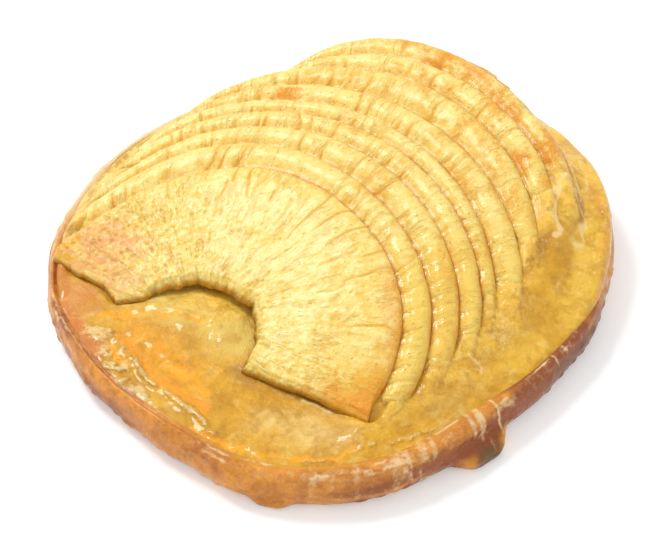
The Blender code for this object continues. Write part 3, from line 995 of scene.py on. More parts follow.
    def baking(self, turn: Array, radius: Array, height: Array, top: Array) -> dict[str, Array]:
        """Where the pastry is red, pale, dark, olive and golden, and where highlights are painted on it.

        Args:
            turn: Azimuths in degrees.
            radius: Radii.
            height: Heights.
            top: How near each place is to the crest, 0 to 1.

        Returns:
            The marks by name, three values from 0 to 1 for each place.
        """
        arc = np.radians(turn) * self.wall_radius
        inner = (self.outer_radius(turn) - radius) / self.width_at(turn)
        creased = np.exp(-((inner - 0.75) / 0.35) ** 2) * hump(turn, 216.0, 30.0)
        stripe = layered_noise(joined(arc * 0.16, inner * 3.4), 1.0, 71, 3)
        swept = layered_noise(joined(arc * 0.09, height * 0.55 + radius * 0.35), 1.0, 73, 3)
        raised = height - 1.5 * hump(turn, 336.0, 30.0)
        red = 0.3 * creased + 1.2 * hump(turn, 316.0, 44.0) * step_between(raised, 8.6, 5.8)
        red = unit(red + 0.5 * hump(turn, 200.0, 26.0) + 0.6 * swept)
        pale = unit(1.2 * hump(turn, 138.0, 32.0) + 0.7 * hump(turn, 60.0, 40.0) * top)
        dark = 0.9 * hump(turn, 336.0, 16.0) * step_between(height, 7.6, 5.4)
        dark = dark + 0.8 * hump(turn, 302.0, 9.0) * step_between(height, 3.2, 1.2)
        dark = unit(dark + 0.6 * step_between(height, 1.3, 0.2))
        fibre = step_between(smooth_noise(joined(arc / 0.8, height * 0.12), 81), 0.25, 0.7)
        fibre = fibre * self.ribbed(turn) * step_between(height, 2.0, 4.0)
        # Painted highlights: pale streaks along the crest and on the ribs of the front wall, and a painted
        # sheen (gleam) along the front of the crest.
        painted_highlight = 0.6 * step_between(stripe, 0.15, 0.6) * step_between(inner, 0.0, 0.3) + 0.6 * fibre
        gleam = 0.25 * hump(turn, 285.0, 50.0) * np.exp(-((inner - 0.35) / 0.3) ** 2)
        painted_highlight = unit(painted_highlight + gleam * (0.7 + swept))
        golden = step_between(inner, 0.35, 0.95) * (1.0 - hump(turn, 200.0, 46.0))
        golden = golden * (1.0 - 0.6 * hump(turn, 312.0, 30.0))
        drip = np.maximum(hump(turn, 307.5, 2.4), 0.8 * hump(turn, 297.5, 2.2))
        drip = drip * step_between(height, 4.4, 3.0)
        golden, red, dark = np.maximum(golden, drip), red * (1.0 - drip), dark * (1.0 - 0.9 * drip)
        olive = 0.8 * hump(turn, 302.5, 3.2) * step_between(height, 4.4, 2.8)
        olive = olive * step_between(height, 0.6, 1.6)
        return {"baking": joined(red, pale, dark), "drips": joined(olive, painted_highlight, golden)}

    def build(self, middle: Pair) -> Piece:
        """Make the case with its flakes, folds and blisters.

        Args:
            middle: Point in mm that is set on the origin.

        Returns:
            The new piece.
        """
        angle = np.arange(self.columns) * 360.0 / self.columns
        rings = self.rounded(self.profile(angle))
        turn = np.broadcast_to(angle, rings.shape[:2])
        radius, height = rings[..., 0], rings[..., 1]
        top = step_between(height, 5.5, 7.2)
        relief = self.relief(turn, radius, height, top)
        radius = radius + relief
        height = height + 0.35 * relief * top
        points = joined(radius * np.cos(np.radians(turn)), radius * np.sin(np.radians(turn)), height)
        return Skin(points, self.baking(turn, radius, height, top)).build("pastry_case", middle)


# ---------------------------------------------------------------------- custard
EMPTY = -99.0
FLAKE_LINE = (
    (-42.0, -18.5), (-39.5, -22.5), (-35.8, -28.3), (-30.0, -35.0), (-24.3, -40.5), (-20.5, -45.0))


@dataclass
class HeightMap:
    """Heights in mm on a square net over the tartlet."""

    values: Array
    half: float = 62.0
    step: float = 0.5

    @classmethod
    def empty(cls) -> "HeightMap":
        """Net with nothing on it yet."""
        count = int(2 * cls.half / cls.step) + 1
        return cls(np.full((count, count), EMPTY))

    def grid(self) -> tuple[Array, Array]:
        """Coordinates x and y of the net's points."""
        line = np.arange(len(self.values)) * self.step - self.half
        return np.meshgrid(line, line, indexing="ij")

    def stamp(self, points: Array, values: Array) -> Array:
        """Set cells to the highest of the points in mm that lie on them.

        Args:
            points: The points.
            values: Two or more values for each point.

        Returns:
            The values that belong to the highest points, 0 on other cells.
        """
        order = np.argsort(points[:, 2])
        cell = np.rint((points[order, :2] + self.half) / self.step).astype(int)
        cell = np.clip(cell, 0, len(self.values) - 1)
        noted = np.zeros((*self.values.shape, values.shape[-1]))
        self.values[cell[:, 0], cell[:, 1]] = points[order, 2]
        noted[cell[:, 0], cell[:, 1]] = values[order]
        return noted

    def shifted(self, row: int, column: int) -> Array:
        """Values moved by whole cells."""
        return np.roll(self.values, (row, column), axis=(0, 1))

    def spread(self, rounds: int, slope: float) -> None:
        """Let the heights run out as slopes all round.

        Args:
            rounds: How many cells far.
            slope: Fall in mm for each mm.
        """
        for _ in range(rounds):
            for row, column in ((1, 0), (-1, 0), (0, 1), (0, -1), (1, 1), (1, -1), (-1, 1), (-1, -1)):
                fall = slope * self.step * math.hypot(row, column)
                self.values = np.maximum(self.values, self.shifted(row, column) - fall)

    def soften(self, rounds: int) -> None:
        """Average every value with its neighbours a few times."""
        for _ in range(rounds):
            sides = self.shifted(1, 0) + self.shifted(-1, 0) + self.shifted(0, 1) + self.shifted(0, -1)
            self.values = 0.5 * self.values + 0.125 * sides

    def at(self, x: Array, y: Array) -> Array:
        """Heights between the net's points."""
        across, along = (x + self.half) / self.step, (y + self.half) / self.step
        row, column = np.floor(across).astype(int), np.floor(along).astype(int)
        s, t = across - row, along - column
        net = self.values
        near = net[row, column] * (1 - t) + net[row, column + 1] * t
        far = net[row + 1, column] * (1 - t) + net[row + 1, column + 1] * t
        return near * (1 - s) + far * s


@dataclass(frozen=True)
class CustardFill:
    """Custard that fills the case and climbs the ends of the slices. Sizes in mm."""

    case: PastryCase
    edge_level: float = 6.9
    middle_level: float = 6.7
    banks: tuple[Triple, ...] = (
        (8.0, 34.0, 6.2), (24.0, 18.0, 2.4), (318.0, 28.0, 2.4), (140.0, 36.0, 2.4))
    bank_reach: float = 9.0
    bank_start: float = 34.0
    lumps: tuple[tuple[float, float, float, float], ...] = (
        (-38.0, -26.0, 5.5, 0.9), (-31.0, -33.0, 5.0, 0.8), (-24.0, -39.0, 6.0, 0.7),
        (-30.0, -20.0, 7.0, 0.8), (-17.0, -22.0, 7.0, 0.9), (-8.0, -44.0, 6.5, 0.5),
        (6.0, -46.0, 5.0, 0.5), (26.0, -36.0, 5.0, 0.5), (41.0, -22.0, 6.0, 0.6),
        (47.0, -6.0, 6.0, 0.6), (50.0, 12.0, 6.0, 0.6), (47.0, 29.0, 5.0, 0.7))
    lobes: Strokes = (
        Spot(-4.0, -43.5, 5.5, 0.5, 2.2, -12.0), Spot(-37.5, -10.0, 4.0, 0.5, 1.6, -20.0),
        Spot(22.0, -38.0, 5.0, 0.3, 1.8, 30.0), Spot(43.5, 37.0, 4.5, 0.8))
    flaps: tuple[tuple[float, float, float, float], ...] = (
        (44.5, 33.5, 6.0, 3.2), (50.0, 23.0, 4.0, 1.4))
    nest: Spot = Spot(-18.0, -10.0, 11.5, 1.9)
    lap: float = 0.22
    overflow: Triple = (0.62, 6.0, 34.0)
    columns: int = 640
    rows: int = 124
    front_hollow: float = 1.75
    slope: float = 0.42
    slope_cells: int = 12
    settling: int = 90
    pull: float = 0.004
    skin_relief: float = 0.34
    swell_relief: float = 0.55
    glaze_and_glint_relief: float = 0.24
    ridge: Strokes = (
        Streak(FLAKE_LINE, 1.1, 1.0),
        Streak(((-37.5, -19.5), (-32.5, -23.0), (-27.5, -29.5), (-23.5, -34.0)), 1.2, 0.7),
        Streak(((-34.0, -13.5), (-29.0, -15.0), (-23.5, -17.5)), 0.8, 0.6))
    cream: Strokes = (
        Spot(-39.0, -29.6, 2.0, 1.0, 1.9, -62.0), Spot(-36.3, -34.6, 2.1, 0.9, 1.8, -48.0),
        Spot(-34.0, -36.4, 1.3, 0.9, 1.4, 0.0), Spot(-41.6, -25.6, 1.5, 0.8, 1.8, -60.0),
        Spot(-43.4, -20.0, 2.0, 0.7, 1.6, -70.0), Spot(-31.0, -39.4, 1.0, 0.6, 1.6, -35.0),
        Streak(FLAKE_LINE, 0.5, 0.75),
        Streak(((4.0, -49.5), (14.0, -46.0), (24.0, -41.5), (33.0, -36.0), (41.0, -29.0)), 0.5, 0.5),
        Streak(((-17.0, -48.0), (-9.0, -50.3), (0.0, -51.0)), 0.35, 0.55),
        Spot(31.0, -24.5, 2.6, 0.35, 1.6, 40.0))
    amber: Strokes = (
        Streak(((-33.4, -24.0), (-29.0, -28.6), (-25.0, -32.6), (-23.6, -35.0)), 1.5, 1.0),
        Streak(((-42.5, -14.6), (-37.5, -15.2), (-35.0, -15.4)), 0.9, 0.9),
        Streak(((-32.5, -15.4), (-28.5, -15.6), (-24.0, -17.5)), 0.8, 0.8),
        Streak(((-41.5, -22.5), (-40.0, -26.0), (-38.4, -28.0)), 0.9, 0.95),
        Spot(-35.0, -37.6, 1.2, 0.9, 2.0, -40.0),
        Streak(((-27.5, -43.0), (-24.0, -44.6), (-20.5, -45.8), (-16.0, -48.0)), 0.9, 1.0),
        Streak(((-14.0, -49.2), (-6.0, -50.6), (1.0, -50.4), (5.0, -48.8)), 0.7, 0.8))
    orange: Strokes = (
        Streak(((-39.0, -21.0), (-35.4, -26.0), (-31.5, -31.0), (-27.0, -35.5), (-23.0, -38.8)), 1.5, 0.9),
        Streak(((-38.0, -18.0), (-32.0, -23.5), (-27.0, -29.0)), 5.0, 0.55))
    deep: Strokes = (
        Spot(-26.0, -12.5, 7.5, 1.0, 1.6, -20.0), Spot(-19.0, -19.0, 6.5, 1.0, 1.5, -55.0),
        Spot(-30.0, -8.0, 6.0, 0.8), Spot(46.0, 29.5, 4.5, 1.0))
    swells: Strokes = (
        Streak(((45.5, 36.0), (48.5, 28.0), (50.5, 18.0), (50.8, 8.0)), 1.5, 1.0),
        Streak(((43.0, 27.0), (45.8, 20.0)), 1.2, 0.7),
        Streak(((46.8, 2.0), (44.0, -9.0), (38.5, -19.0)), 1.6, 0.8),
        Streak(((33.0, -27.0), (24.0, -35.0), (13.0, -42.0)), 1.8, 0.7))
    # Painted shade: darker troughs and hollows by the slices' right ends, a dark pit by the leg, shadow
    # below the front slice's leg and notch edge.
    shaded: Strokes = (
        Streak(((41.0, -5.0), (37.0, -13.0), (31.0, -22.0), (25.0, -29.0)), 3.6, 0.34),
        Spot(20.0, -35.5, 5.0, 0.36, 1.8, 28.0), Spot(-15.6, -30.6, 2.6, 0.9, 1.4, -30.0),
        Streak(((-24.0, -44.0), (-10.0, -41.0), (2.0, -44.0)), 3.0, 0.16),
        Spot(44.0, 4.0, 3.0, 0.3, 1.6, 80.0),
        Streak(((-15.0, -30.0), (-9.0, -34.2), (-3.6, -36.6), (2.0, -39.0)), 1.3, 0.8),
        Spot(40.8, -3.6, 1.6, 0.9, 2.4, 80.0),
        Streak(((-31.0, -10.5), (-24.0, -16.4), (-17.0, -22.0)), 0.7, 0.25),
        Spot(38.0, -8.0, 1.6, 0.6, 2.0, 70.0))
    toasted: Strokes = (
        Streak(((-52.0, -2.0), (-50.8, -8.0), (-48.6, -14.5), (-46.6, -20.0), (-43.6, -26.0)), 2.6, 0.95),
        Spot(-46.5, -10.0, 4.0, 0.6, 1.6, -70.0),
        Streak(((51.0, 14.0), (53.0, 5.0), (53.0, -4.0), (50.5, -12.0)), 1.8, 0.5))
    # Raised glaze threads and webs, and painted glints: small pale strokes and spots where light glances
    # off the custard.
    glaze_and_glint_strokes: Strokes = (
        Streak(((-5.0, -36.4), (-2.0, -38.0), (1.0, -39.4)), 0.45, 0.7),
        Streak(((-16.5, -29.0), (-14.8, -30.6)), 0.25, 0.6),
        Streak(((45.3, 16.0), (46.4, 13.6), (48.9, 11.6)), 0.42, 0.9),
        Streak(((46.8, 13.6), (44.6, 11.0), (43.6, 5.0), (42.6, 0.0)), 0.36, 0.8),
        Spot(43.2, 8.8, 1.1, 0.9, 1.5, 60.0), Streak(((42.6, 2.2), (43.8, 0.6), (42.4, -1.6)), 0.6, 0.9),
        Streak(((47.8, 9.9), (48.6, 4.5), (48.4, -0.8)), 0.32, 0.7),
        Spot(48.3, 2.6, 0.8, 0.8, 1.8, 80.0), Spot(47.0, -1.4, 1.0, 0.8, 1.6, 20.0),
        Streak(((38.6, 12.0), (39.4, 8.6), (39.0, 6.0)), 0.32, 0.7),
        Spot(39.4, 3.4, 1.0, 0.8, 1.8, 80.0),
        Streak(((37.6, 5.5), (37.8, -1.0), (36.6, -8.0)), 0.32, 0.7),
        Streak(((32.4, -3.0), (33.2, -9.0), (31.8, -14.0)), 0.3, 0.6),
        Streak(((24.6, -29.4), (26.2, -30.6)), 0.32, 0.7),
        Streak(((25.6, -31.6), (27.4, -31.2)), 0.3, 0.6),
        Streak(((26.6, -30.0), (26.9, -32.2)), 0.3, 0.6),
        Streak(((43.4, 19.0), (44.4, 16.4), (45.4, 15.0)), 0.34, 0.7),
        Streak(((46.6, 18.6), (46.2, 16.0)), 0.3, 0.6),
        Streak(((45.0, 28.0), (46.4, 23.0), (46.0, 19.0)), 0.32, 0.6),
        Streak(((49.6, 22.0), (50.4, 16.0), (49.8, 12.0)), 0.34, 0.6),
        Streak(((42.0, 31.5), (44.4, 29.0)), 0.3, 0.5))

    def level(self, x: Array, y: Array) -> Array:
        """Height of the custard where no slice lies on it.

        Args:
            x: World x in mm.
            y: World y in mm.

        Returns:
            Heights in mm.
        """
        radius = np.hypot(x, y)
        angle = azimuth_of(x, y)
        inward = unit((self.case.inner_radius(angle) - radius) / self.bank_reach)
        inward = inward * inward * (3.0 - 2.0 * inward)
        outward = unit(radius / self.bank_start) ** 2
        bank = sum(rise * hump(angle, azimuth, width) for azimuth, width, rise in self.banks) * outward
        height = self.edge_level + (self.middle_level - self.edge_level + bank) * inward
        for lump_x, lump_y, size, rise in self.lumps:
            height = height + rise * np.exp(-((x - lump_x) ** 2 + (y - lump_y) ** 2) / size ** 2)
        return height

    def support(self, x: Array, y: Array) -> Array:
        """Height of whatever lies under a slice: custard inside the wall, crest on it."""
        radius = np.hypot(x, y)
        angle = azimuth_of(x, y)
        share = unit((radius - self.case.inner_radius(angle)) / 1.2 + 1.0)
        return self.level(x, y) * (1.0 - share) + (self.case.crest_at(angle) + 0.1) * share

    def lapped(self, angle: Array) -> Array:
        """Share of the crest that the custard covers at an azimuth."""
        return self.lap + self.overflow[0] * hump(angle, *self.overflow[1:])

    def free_surface(self, skins: Sequence["SliceSkin"]) -> tuple[HeightMap, HeightMap, HeightMap]:
        """Custard that flows over the ends of the slices and stays under the rest.

        Args:
            skins: The slices.

        Returns:
            Heights over the whole tartlet, how much fruit shows through and where the grooves' brown and
            painted shade run on.
        """
        laid, front = HeightMap.empty(), HeightMap.empty()
        points = np.concatenate([skin.tops.reshape(-1, 3) for skin in skins[1:]])
        values = np.concatenate([joined(skin.sunk, skin.grooves).reshape(-1, 2) for skin in skins[1:]])
        noted = laid.stamp(points, values)
        sunk, grooves = noted[..., 0], noted[..., 1]
        free = skins[0].tops[skins[0].inside > 1.3]
        front.stamp(free, free)
        front.spread(1, 0.2)
        x, y = laid.grid()
        angle = azimuth_of(x, y)
        base = self.level(x, y)
        wall = step_between(self.case.inner_radius(angle) - np.hypot(x, y), 6.0, 0.0)
        base += wall * hump(angle, *self.overflow[1:]) * (self.case.crest_at(angle) + 0.35 - base)
        base += self.nest.mask(x, y)
        for lobe_x, lobe_y, size, rise in self.flaps:
            base = base + rise * np.exp(-(((x - lobe_x) ** 2 + (y - lobe_y) ** 2) / size ** 2) ** 2)
        outer = (x > 4.0) | ((x < -24.0) & (y > 4.0))
        covered = laid.values > 0.0
        ending = covered & (sunk > 0.03) & outer
        held = laid.values - 0.12 + 0.24 * step_between(sunk, 0.04, 0.8)
        slopes = HeightMap(np.where(ending, held, EMPTY))
        slopes.spread(self.slope_cells, self.slope)
        surface = HeightMap(np.maximum(base, slopes.values))
        for _ in range(self.settling):
            surface.values = np.where(ending, held, surface.values)
            surface.soften(2)
            surface.values += self.pull * (base - surface.values)
        kept = covered & (sunk <= 0.03)
        surface.values = np.where(kept, np.minimum(surface.values, laid.values - 0.14), surface.values)
        low = np.minimum(surface.values, front.values - self.front_hollow)
        surface.values = np.where(front.values > 0.0, low, surface.values)
        surface.soften(1)
        fruit = HeightMap(ending * step_between(sunk, 1.0, 0.3))
        fruit.soften(6)
        # The slices' groove marks, browning and painted shade, carried on where the slices sink.
        lines = HeightMap(ending * unit(2.4 * grooves - 0.15) * step_between(sunk, 1.0, 0.8))
        return surface, fruit, lines

    def build(self, fan: "AppleFan", skins: Sequence["SliceSkin"], middle: Pair) -> Piece:
        """Make the custard with its skin, flakes, glaze and painted glints.

        Args:
            fan: The slices that lie on it.
            skins: Their finished surfaces.
            middle: Point in mm that is set on the origin.

        Returns:
            The new piece.
        """
        angle = np.arange(self.columns) * 360.0 / self.columns
        inner = self.case.inner_radius(angle)
        lap = self.lapped(angle)
        edge = inner + lap * self.case.width_at(angle)
        direction = joined(np.cos(np.radians(angle)), np.sin(np.radians(angle)))
        share = np.linspace(1.0, 0.012, self.rows) ** 0.9
        flat = direction[None] * (edge * share[:, None])[..., None]
        x, y = flat[..., 0], flat[..., 1]
        place = joined(x, y)
        cover = fan.cover(x, y)
        u = x + 1.0 * layered_noise(place, 4.5, 141, 2) + 0.35 * layered_noise(place, 1.3, 143, 2)
        v = y + 1.0 * layered_noise(place, 4.5, 145, 2) + 0.35 * layered_noise(place, 1.3, 147, 2)
        cream = painted(self.cream, u, v)
        uneven = np.clip(0.95 + 0.5 * layered_noise(place, 2.6, 149, 3), 0.0, 1.15)
        amber = painted(self.amber, u, v) * uneven
        glaze_and_glint = painted(self.glaze_and_glint_strokes, u, v)
        flakes = layered_noise(place, 1.9, 101, 4)
        flaky = cream * step_between(flakes, -0.22, 0.06)
        relief = self.skin_relief * layered_noise(place, 8.0, 111, 3)
        relief += 0.15 * layered_noise(place, 2.1, 115, 2)
        ridge = painted(self.ridge, u, v) * (0.85 + 0.4 * layered_noise(place, 2.2, 151, 2))
        relief += self.skin_relief * (flaky + ridge) - 0.25 * amber + self.glaze_and_glint_relief * glaze_and_glint
        gap = (1.0 - share[:, None]) * edge
        relief += step_between(gap, 4.0, 1.0) * 0.22 * layered_noise(place, 2.6, 121, 3)
        relief += self.swell_relief * painted(self.swells, u, v)
        surface, fruit, lines = self.free_surface(skins)
        height = surface.at(x, y) + relief * (1.0 - cover)
        ending = self.case.height_at(angle, edge) - 0.3
        bend = np.sqrt(unit(1.0 - (1.0 - unit(gap / 1.5)) ** 2))
        height = ending * (1.0 - bend) + height * bend
        rings = [np.column_stack([direction * (inner - 2.8)[:, None], np.full(self.columns, 3.35)]),
                 np.column_stack([direction * (inner - 0.7)[:, None], np.full(self.columns, 4.6)])]
        rings.extend(np.concatenate([flat[row], height[row][:, None]], axis=-1) for row in range(self.rows))
        angles = np.broadcast_to(angle, x.shape)
        risen = height - self.level(x, y) + 0.5 * layered_noise(place, 3.0, 135, 3)
        climbing = step_between(risen, 0.2, 2.6)
        granular = unit(climbing * (0.5 + 0.9 * layered_noise(place, 2.0, 131, 3)))
        pale = hump(angles, 150.0, 40.0) * step_between(gap, 16.0, 4.0)
        pale = np.maximum(pale, painted(self.lobes, u, v))
        fields = {
            "depth": [painted(self.deep, u, v), amber, painted(self.orange, u, v) * uneven],
            "skin": [flaky, painted(self.toasted, u, v), pale],
            "shade": [painted(self.shaded, u, v), granular, climbing],
            "fruit": [fruit.at(x, y), lines.at(x, y), glaze_and_glint]}
        marks = {}
        for label, parts in fields.items():
            values = joined(*parts)
            marks[label] = np.concatenate([values[:1], values[:1], values])
        return Skin(np.array(rings), marks).build("custard_filling", middle)


# ----------------------------------------------------------------- apple slices
@dataclass
class SliceSkin:
    """Finished surface of a slice, and how its top sinks into the custard."""

    skin: Skin
    tops: Array
    sunk: Array
    inside: Array
    grooves: Array


@dataclass(frozen=True)
class SliceShape:
    """Half ring of one slice in the slanted plane, in mm."""

    centre: float
    top: float
    half: float
    depth: float
    skew: float

    @property
    def middle(self) -> float:
        """Q of the middle of the round side."""
        return self.top - self.depth


@dataclass
class SliceLines:
    """Lines in from a slice's round side, one for each cross-section, in mm."""

    outer_p: Array
    outer_q: Array
    aside_p: Array
    aside_q: Array
    length: Array
    reach: Array
    run: Array

    @property
    def fit(self) -> Array:
        """How much of an edge of full width each line has room for."""
        return np.minimum(1.0, 0.7 * self.reach / 5.8)

    def at(self, inward: Array | float) -> tuple[Array, Array]:
        """P and Q at distances in from the round side."""
        return self.outer_p + self.aside_p * inward, self.outer_q + self.aside_q * inward


@dataclass(frozen=True)
class AppleFan:
    """Fan of overlapping slices on one slanted stack. Sizes in mm.

    P runs level along the cut edge, Q climbs towards the rounded side and N is
    square to the slices.
    """

    custard: CustardFill
    origin: Triple = (0.0, -10.0, 9.0)
    azimuth: float = -44.0
    tilt: float = 20.0
    gap: float = 0.4
    clear: float = 0.3
    ride: float = 0.25
    thin: float = 0.9
    pitch: float = 2.1
    first_face: float = 8.4
    edge_round: float = 1.1
    edge_width: float = 1.7
    swell: float = 0.75
    outline_turn: float = -12.0
    outline_skew: float = 0.010
    droop: Pair = (5.0, 0.0026)
    lift: tuple[float, float, float, float] = (-28.0, 0.0055, -5.0, -25.0)
    slices: tuple[SliceShape, ...] = (
        SliceShape(-10.7, 15.8, 35.4, 45.2, 0.050), SliceShape(-9.8, 20.4, 39.4, 40.5, 0.030),
        SliceShape(-9.2, 25.7, 42.3, 39.5, 0.010), SliceShape(-9.3, 30.4, 45.0, 40.0, 0.000),
        SliceShape(-8.9, 33.4, 46.0, 34.6, -0.024), SliceShape(-9.2, 39.9, 47.5, 39.8, -0.005),
        SliceShape(-10.1, 46.7, 45.7, 37.3, -0.017), SliceShape(-9.9, 53.8, 41.0, 37.7, 0.020),
        SliceShape(-9.8, 59.1, 39.0, 33.8, 0.040), SliceShape(-6.8, 61.0, 35.4, 34.0, 0.060),
        SliceShape(-6.9, 61.0, 34.0, 32.0, 0.060), SliceShape(-9.5, 60.0, 36.0, 31.0, 0.030))
    front_edge: tuple[Pair, ...] = (
        (-45.4, -27.6), (-40.0, -28.0), (-33.0, -26.8), (-28.2, -27.9), (-25.4, -24.6),
        (-23.0, -19.2), (-18.3, -14.4), (-12.0, -12.4), (-5.6, -12.0), (-2.0, -15.1),
        (0.9, -18.2), (2.6, -23.6), (9.7, -21.6), (18.0, -19.5), (27.5, -17.4))
    front_shares: tuple[float, ...] = (
        0.0, 0.05, 0.12, 0.18, 0.25, 0.32, 0.41, 0.50, 0.60, 0.68, 0.75, 0.82, 0.89, 0.95, 1.0)
    front_ends: Pair = (185.5, 27.0)
    core: Pair = (-12.0, -22.0)
    notch: tuple[float, float, float, float] = (-12.0, 1.5, -13.0, 15.0)
    widest: float = 184.0
    end_lift: float = 0.4
    end_reach: float = 3.0
    end_turn: float = 13.0
    end_search: float = 40.0
    sink_depth: float = 0.7
    blunt_from: int = 9
    blunt_step: float = 2.6
    core_arc: float = 34.0
    core_reach: float = 46.0
    seeds: tuple[int, int] = (1000, 37)
    aim_drop: float = 25.0
    heel_inset: float = 1.2
    sink_right: float = 13.0
    sink_left: float = 10.0
    hidden_from: int = 7
    rim_rows: tuple[float, ...] = (0.0, 0.08, 0.2, 0.36, 0.56, 0.8, 1.1, 1.45)
    strip_rows: Triple = (1.8, 9.6, 0.34)
    hidden_rows: int = 5
    front_rows: int = 106
    front_columns: int = 520
    columns: int = 360
    folds: Strokes = (
        Streak(((-45.0, -22.5), (-40.5, -25.0), (-35.0, -24.6), (-31.5, -25.6)), 0.7, 0.9),
        Streak(((-43.5, -19.0), (-39.0, -21.6), (-34.5, -21.4)), 0.55, 0.6),
        Streak(((-34.0, -25.8), (-30.5, -21.0)), 0.6, 0.6),
        Streak(((-46.0, -25.5), (-42.0, -27.4)), 0.6, 0.7))
    blunt: Pair = (39.0, 1.8)
    green: Strokes = (Spot(43.0, 33.5, 4.6, 1.0, 1.4, -60.0), Spot(40.0, 30.0, 3.0, 0.7))
    scorched: Strokes = (
        Spot(-8.6, 36.6, 2.2, 0.8, 1.7, -10.0),
        Streak(((25.5, 53.5), (29.0, 50.0), (32.0, 45.0)), 1.6, 0.9),
        Streak(((34.0, 42.0), (37.0, 37.5), (38.8, 33.5)), 2.2, 1.0),
        Streak(((13.0, 57.0), (22.5, 55.0)), 1.2, 0.7),
        Streak(((27.0, 41.0), (31.0, 36.5), (34.5, 31.0)), 1.5, 0.6))

    browned_corner: Strokes = (Spot(25.0, -15.0, 7.0, 1.0, 1.4, 70.0),)
    burnt_corner: Strokes = (
        Spot(26.6, -15.0, 4.4, 1.0, 1.3, 60.0), Spot(20.0, -18.6, 2.8, 0.7, 2.0, 15.0))
    rosy_end: Strokes = (Spot(-42.0, -24.0, 9.0, 0.95, 1.6, 35.0), Spot(-31.0, -25.5, 6.0, 0.7))
    browned_end: Strokes = (
        Streak(((-45.5, -27.0), (-43.5, -23.0)), 1.0), Streak(((-44.0, -27.6), (-41.0, -26.5)), 0.8))
    gritty_end: Strokes = (
        Spot(-38.0, -17.0, 12.0, 1.0, 1.5, 40.0), Spot(-27.0, -10.0, 8.0, 0.6))
    wet_side: Strokes = (
        Spot(24.0, -22.0, 17.0, 0.8, 1.5, 48.0), Spot(40.0, 2.0, 9.0, 0.6, 1.8, 80.0))

    @property
    def heel(self) -> int:
        """Number of the last slice, the rounded heel."""
        return len(self.slices) - 1

    def axes(self) -> tuple[Array, Array, Array]:
        """Unit vectors P, Q and N."""
        azimuth, tilt = math.radians(self.azimuth), math.radians(self.tilt)
        uphill = np.array([-math.sin(azimuth), math.cos(azimuth), 0.0])
        along = np.array([math.cos(azimuth), math.sin(azimuth), 0.0])
        up = np.array([0.0, 0.0, 1.0])
        climb = uphill * math.cos(tilt) + up * math.sin(tilt)
        square = up * math.cos(tilt) - uphill * math.sin(tilt)
        return along, climb, square

    def to_world(self, p: Array, q: Array, n: Array) -> Array:
        """World points in mm for matching arrays of stack coordinates."""
        along, climb, square = self.axes()
        return (np.array(self.origin) + np.multiply.outer(p, along)
                + np.multiply.outer(q, climb) + np.multiply.outer(n, square))

    def warp(self, p: Array, q: Array) -> Array:
        """N offset that all slices share: droop to the right, lifted left end."""
        start, strength, high, low = self.lift
        fall = self.droop[1] * np.clip(p - self.droop[0], 0.0, None) ** 2
        share = unit((high - q) / (high - low))
        return strength * np.clip(start - p, 0.0, None) ** 2 * share - fall

    def face(self, index: int, p: Array, q: Array) -> Array:
        """N of a slice's face."""
        return self.first_face - self.pitch * index + self.warp(p, q)

    def under(self, index: int, p: Array, q: Array) -> Array:
        """N of a slice's underside."""
        return self.face(index + 1, p, q) + self.gap

    def unevenness(self, index: int, angle: Array) -> Array:
        """Factor on the radius of a slice's round side."""
        return 1.0 + self.outline_skew * np.sin(2 * angle) + self.slices[index].skew * np.sin(3 * angle)

    def outline(self, index: int, angle: Array) -> tuple[Array, Array]:
        """P and Q on a slice's round side; angle 0 is its right end."""
        shape, turn = self.slices[index], math.radians(self.outline_turn)
        u = shape.half * self.unevenness(index, angle) * np.cos(angle)
        v = shape.depth * self.unevenness(index, angle) * np.sin(angle)
        return (shape.centre + u * math.cos(turn) - v * math.sin(turn),
                shape.middle + u * math.sin(turn) + v * math.cos(turn))

    def beyond(self, index: int, p: Array, q: Array) -> Array:
        """Distance of places outside a slice's round side, negative inside."""
        shape, turn = self.slices[index], math.radians(self.outline_turn)
        across, up = p - shape.centre, q - shape.middle
        u = (across * math.cos(turn) + up * math.sin(turn)) / shape.half
        v = (up * math.cos(turn) - across * math.sin(turn)) / shape.depth
        past = np.hypot(u, v) - self.unevenness(index, np.arctan2(v, u))
        return past * 0.5 * (shape.half + shape.depth)

    def cover(self, x: Array, y: Array) -> Array:
        """1 deep under the slices, 0 in the open, for places on the custard."""
        along, climb, _ = self.axes()
        across = joined(x - self.origin[0], y - self.origin[1])
        tilt = math.radians(self.tilt)
        uphill = climb[:2] / math.cos(tilt)
        q = (across @ uphill + (self.first_face - self.pitch) * math.sin(tilt)) / math.cos(tilt)
        edge = np.array(self.front_edge)
        return unit((q - np.interp(across @ along[:2], edge[:, 0], edge[:, 1]) - 2.0) / 4.0)

    def base(self, place: Array) -> Array:
        """Height of the custard or the case under points."""
        return self.custard.support(place[..., 0], place[..., 1])

    def sink(self, place: Array, base: Array, sunk: Array) -> None:
        """Lower points under the custard, as far as each has sunk."""
        place[:, 2] = place[:, 2] * (1.0 - sunk) + (base - self.sink_depth) * sunk

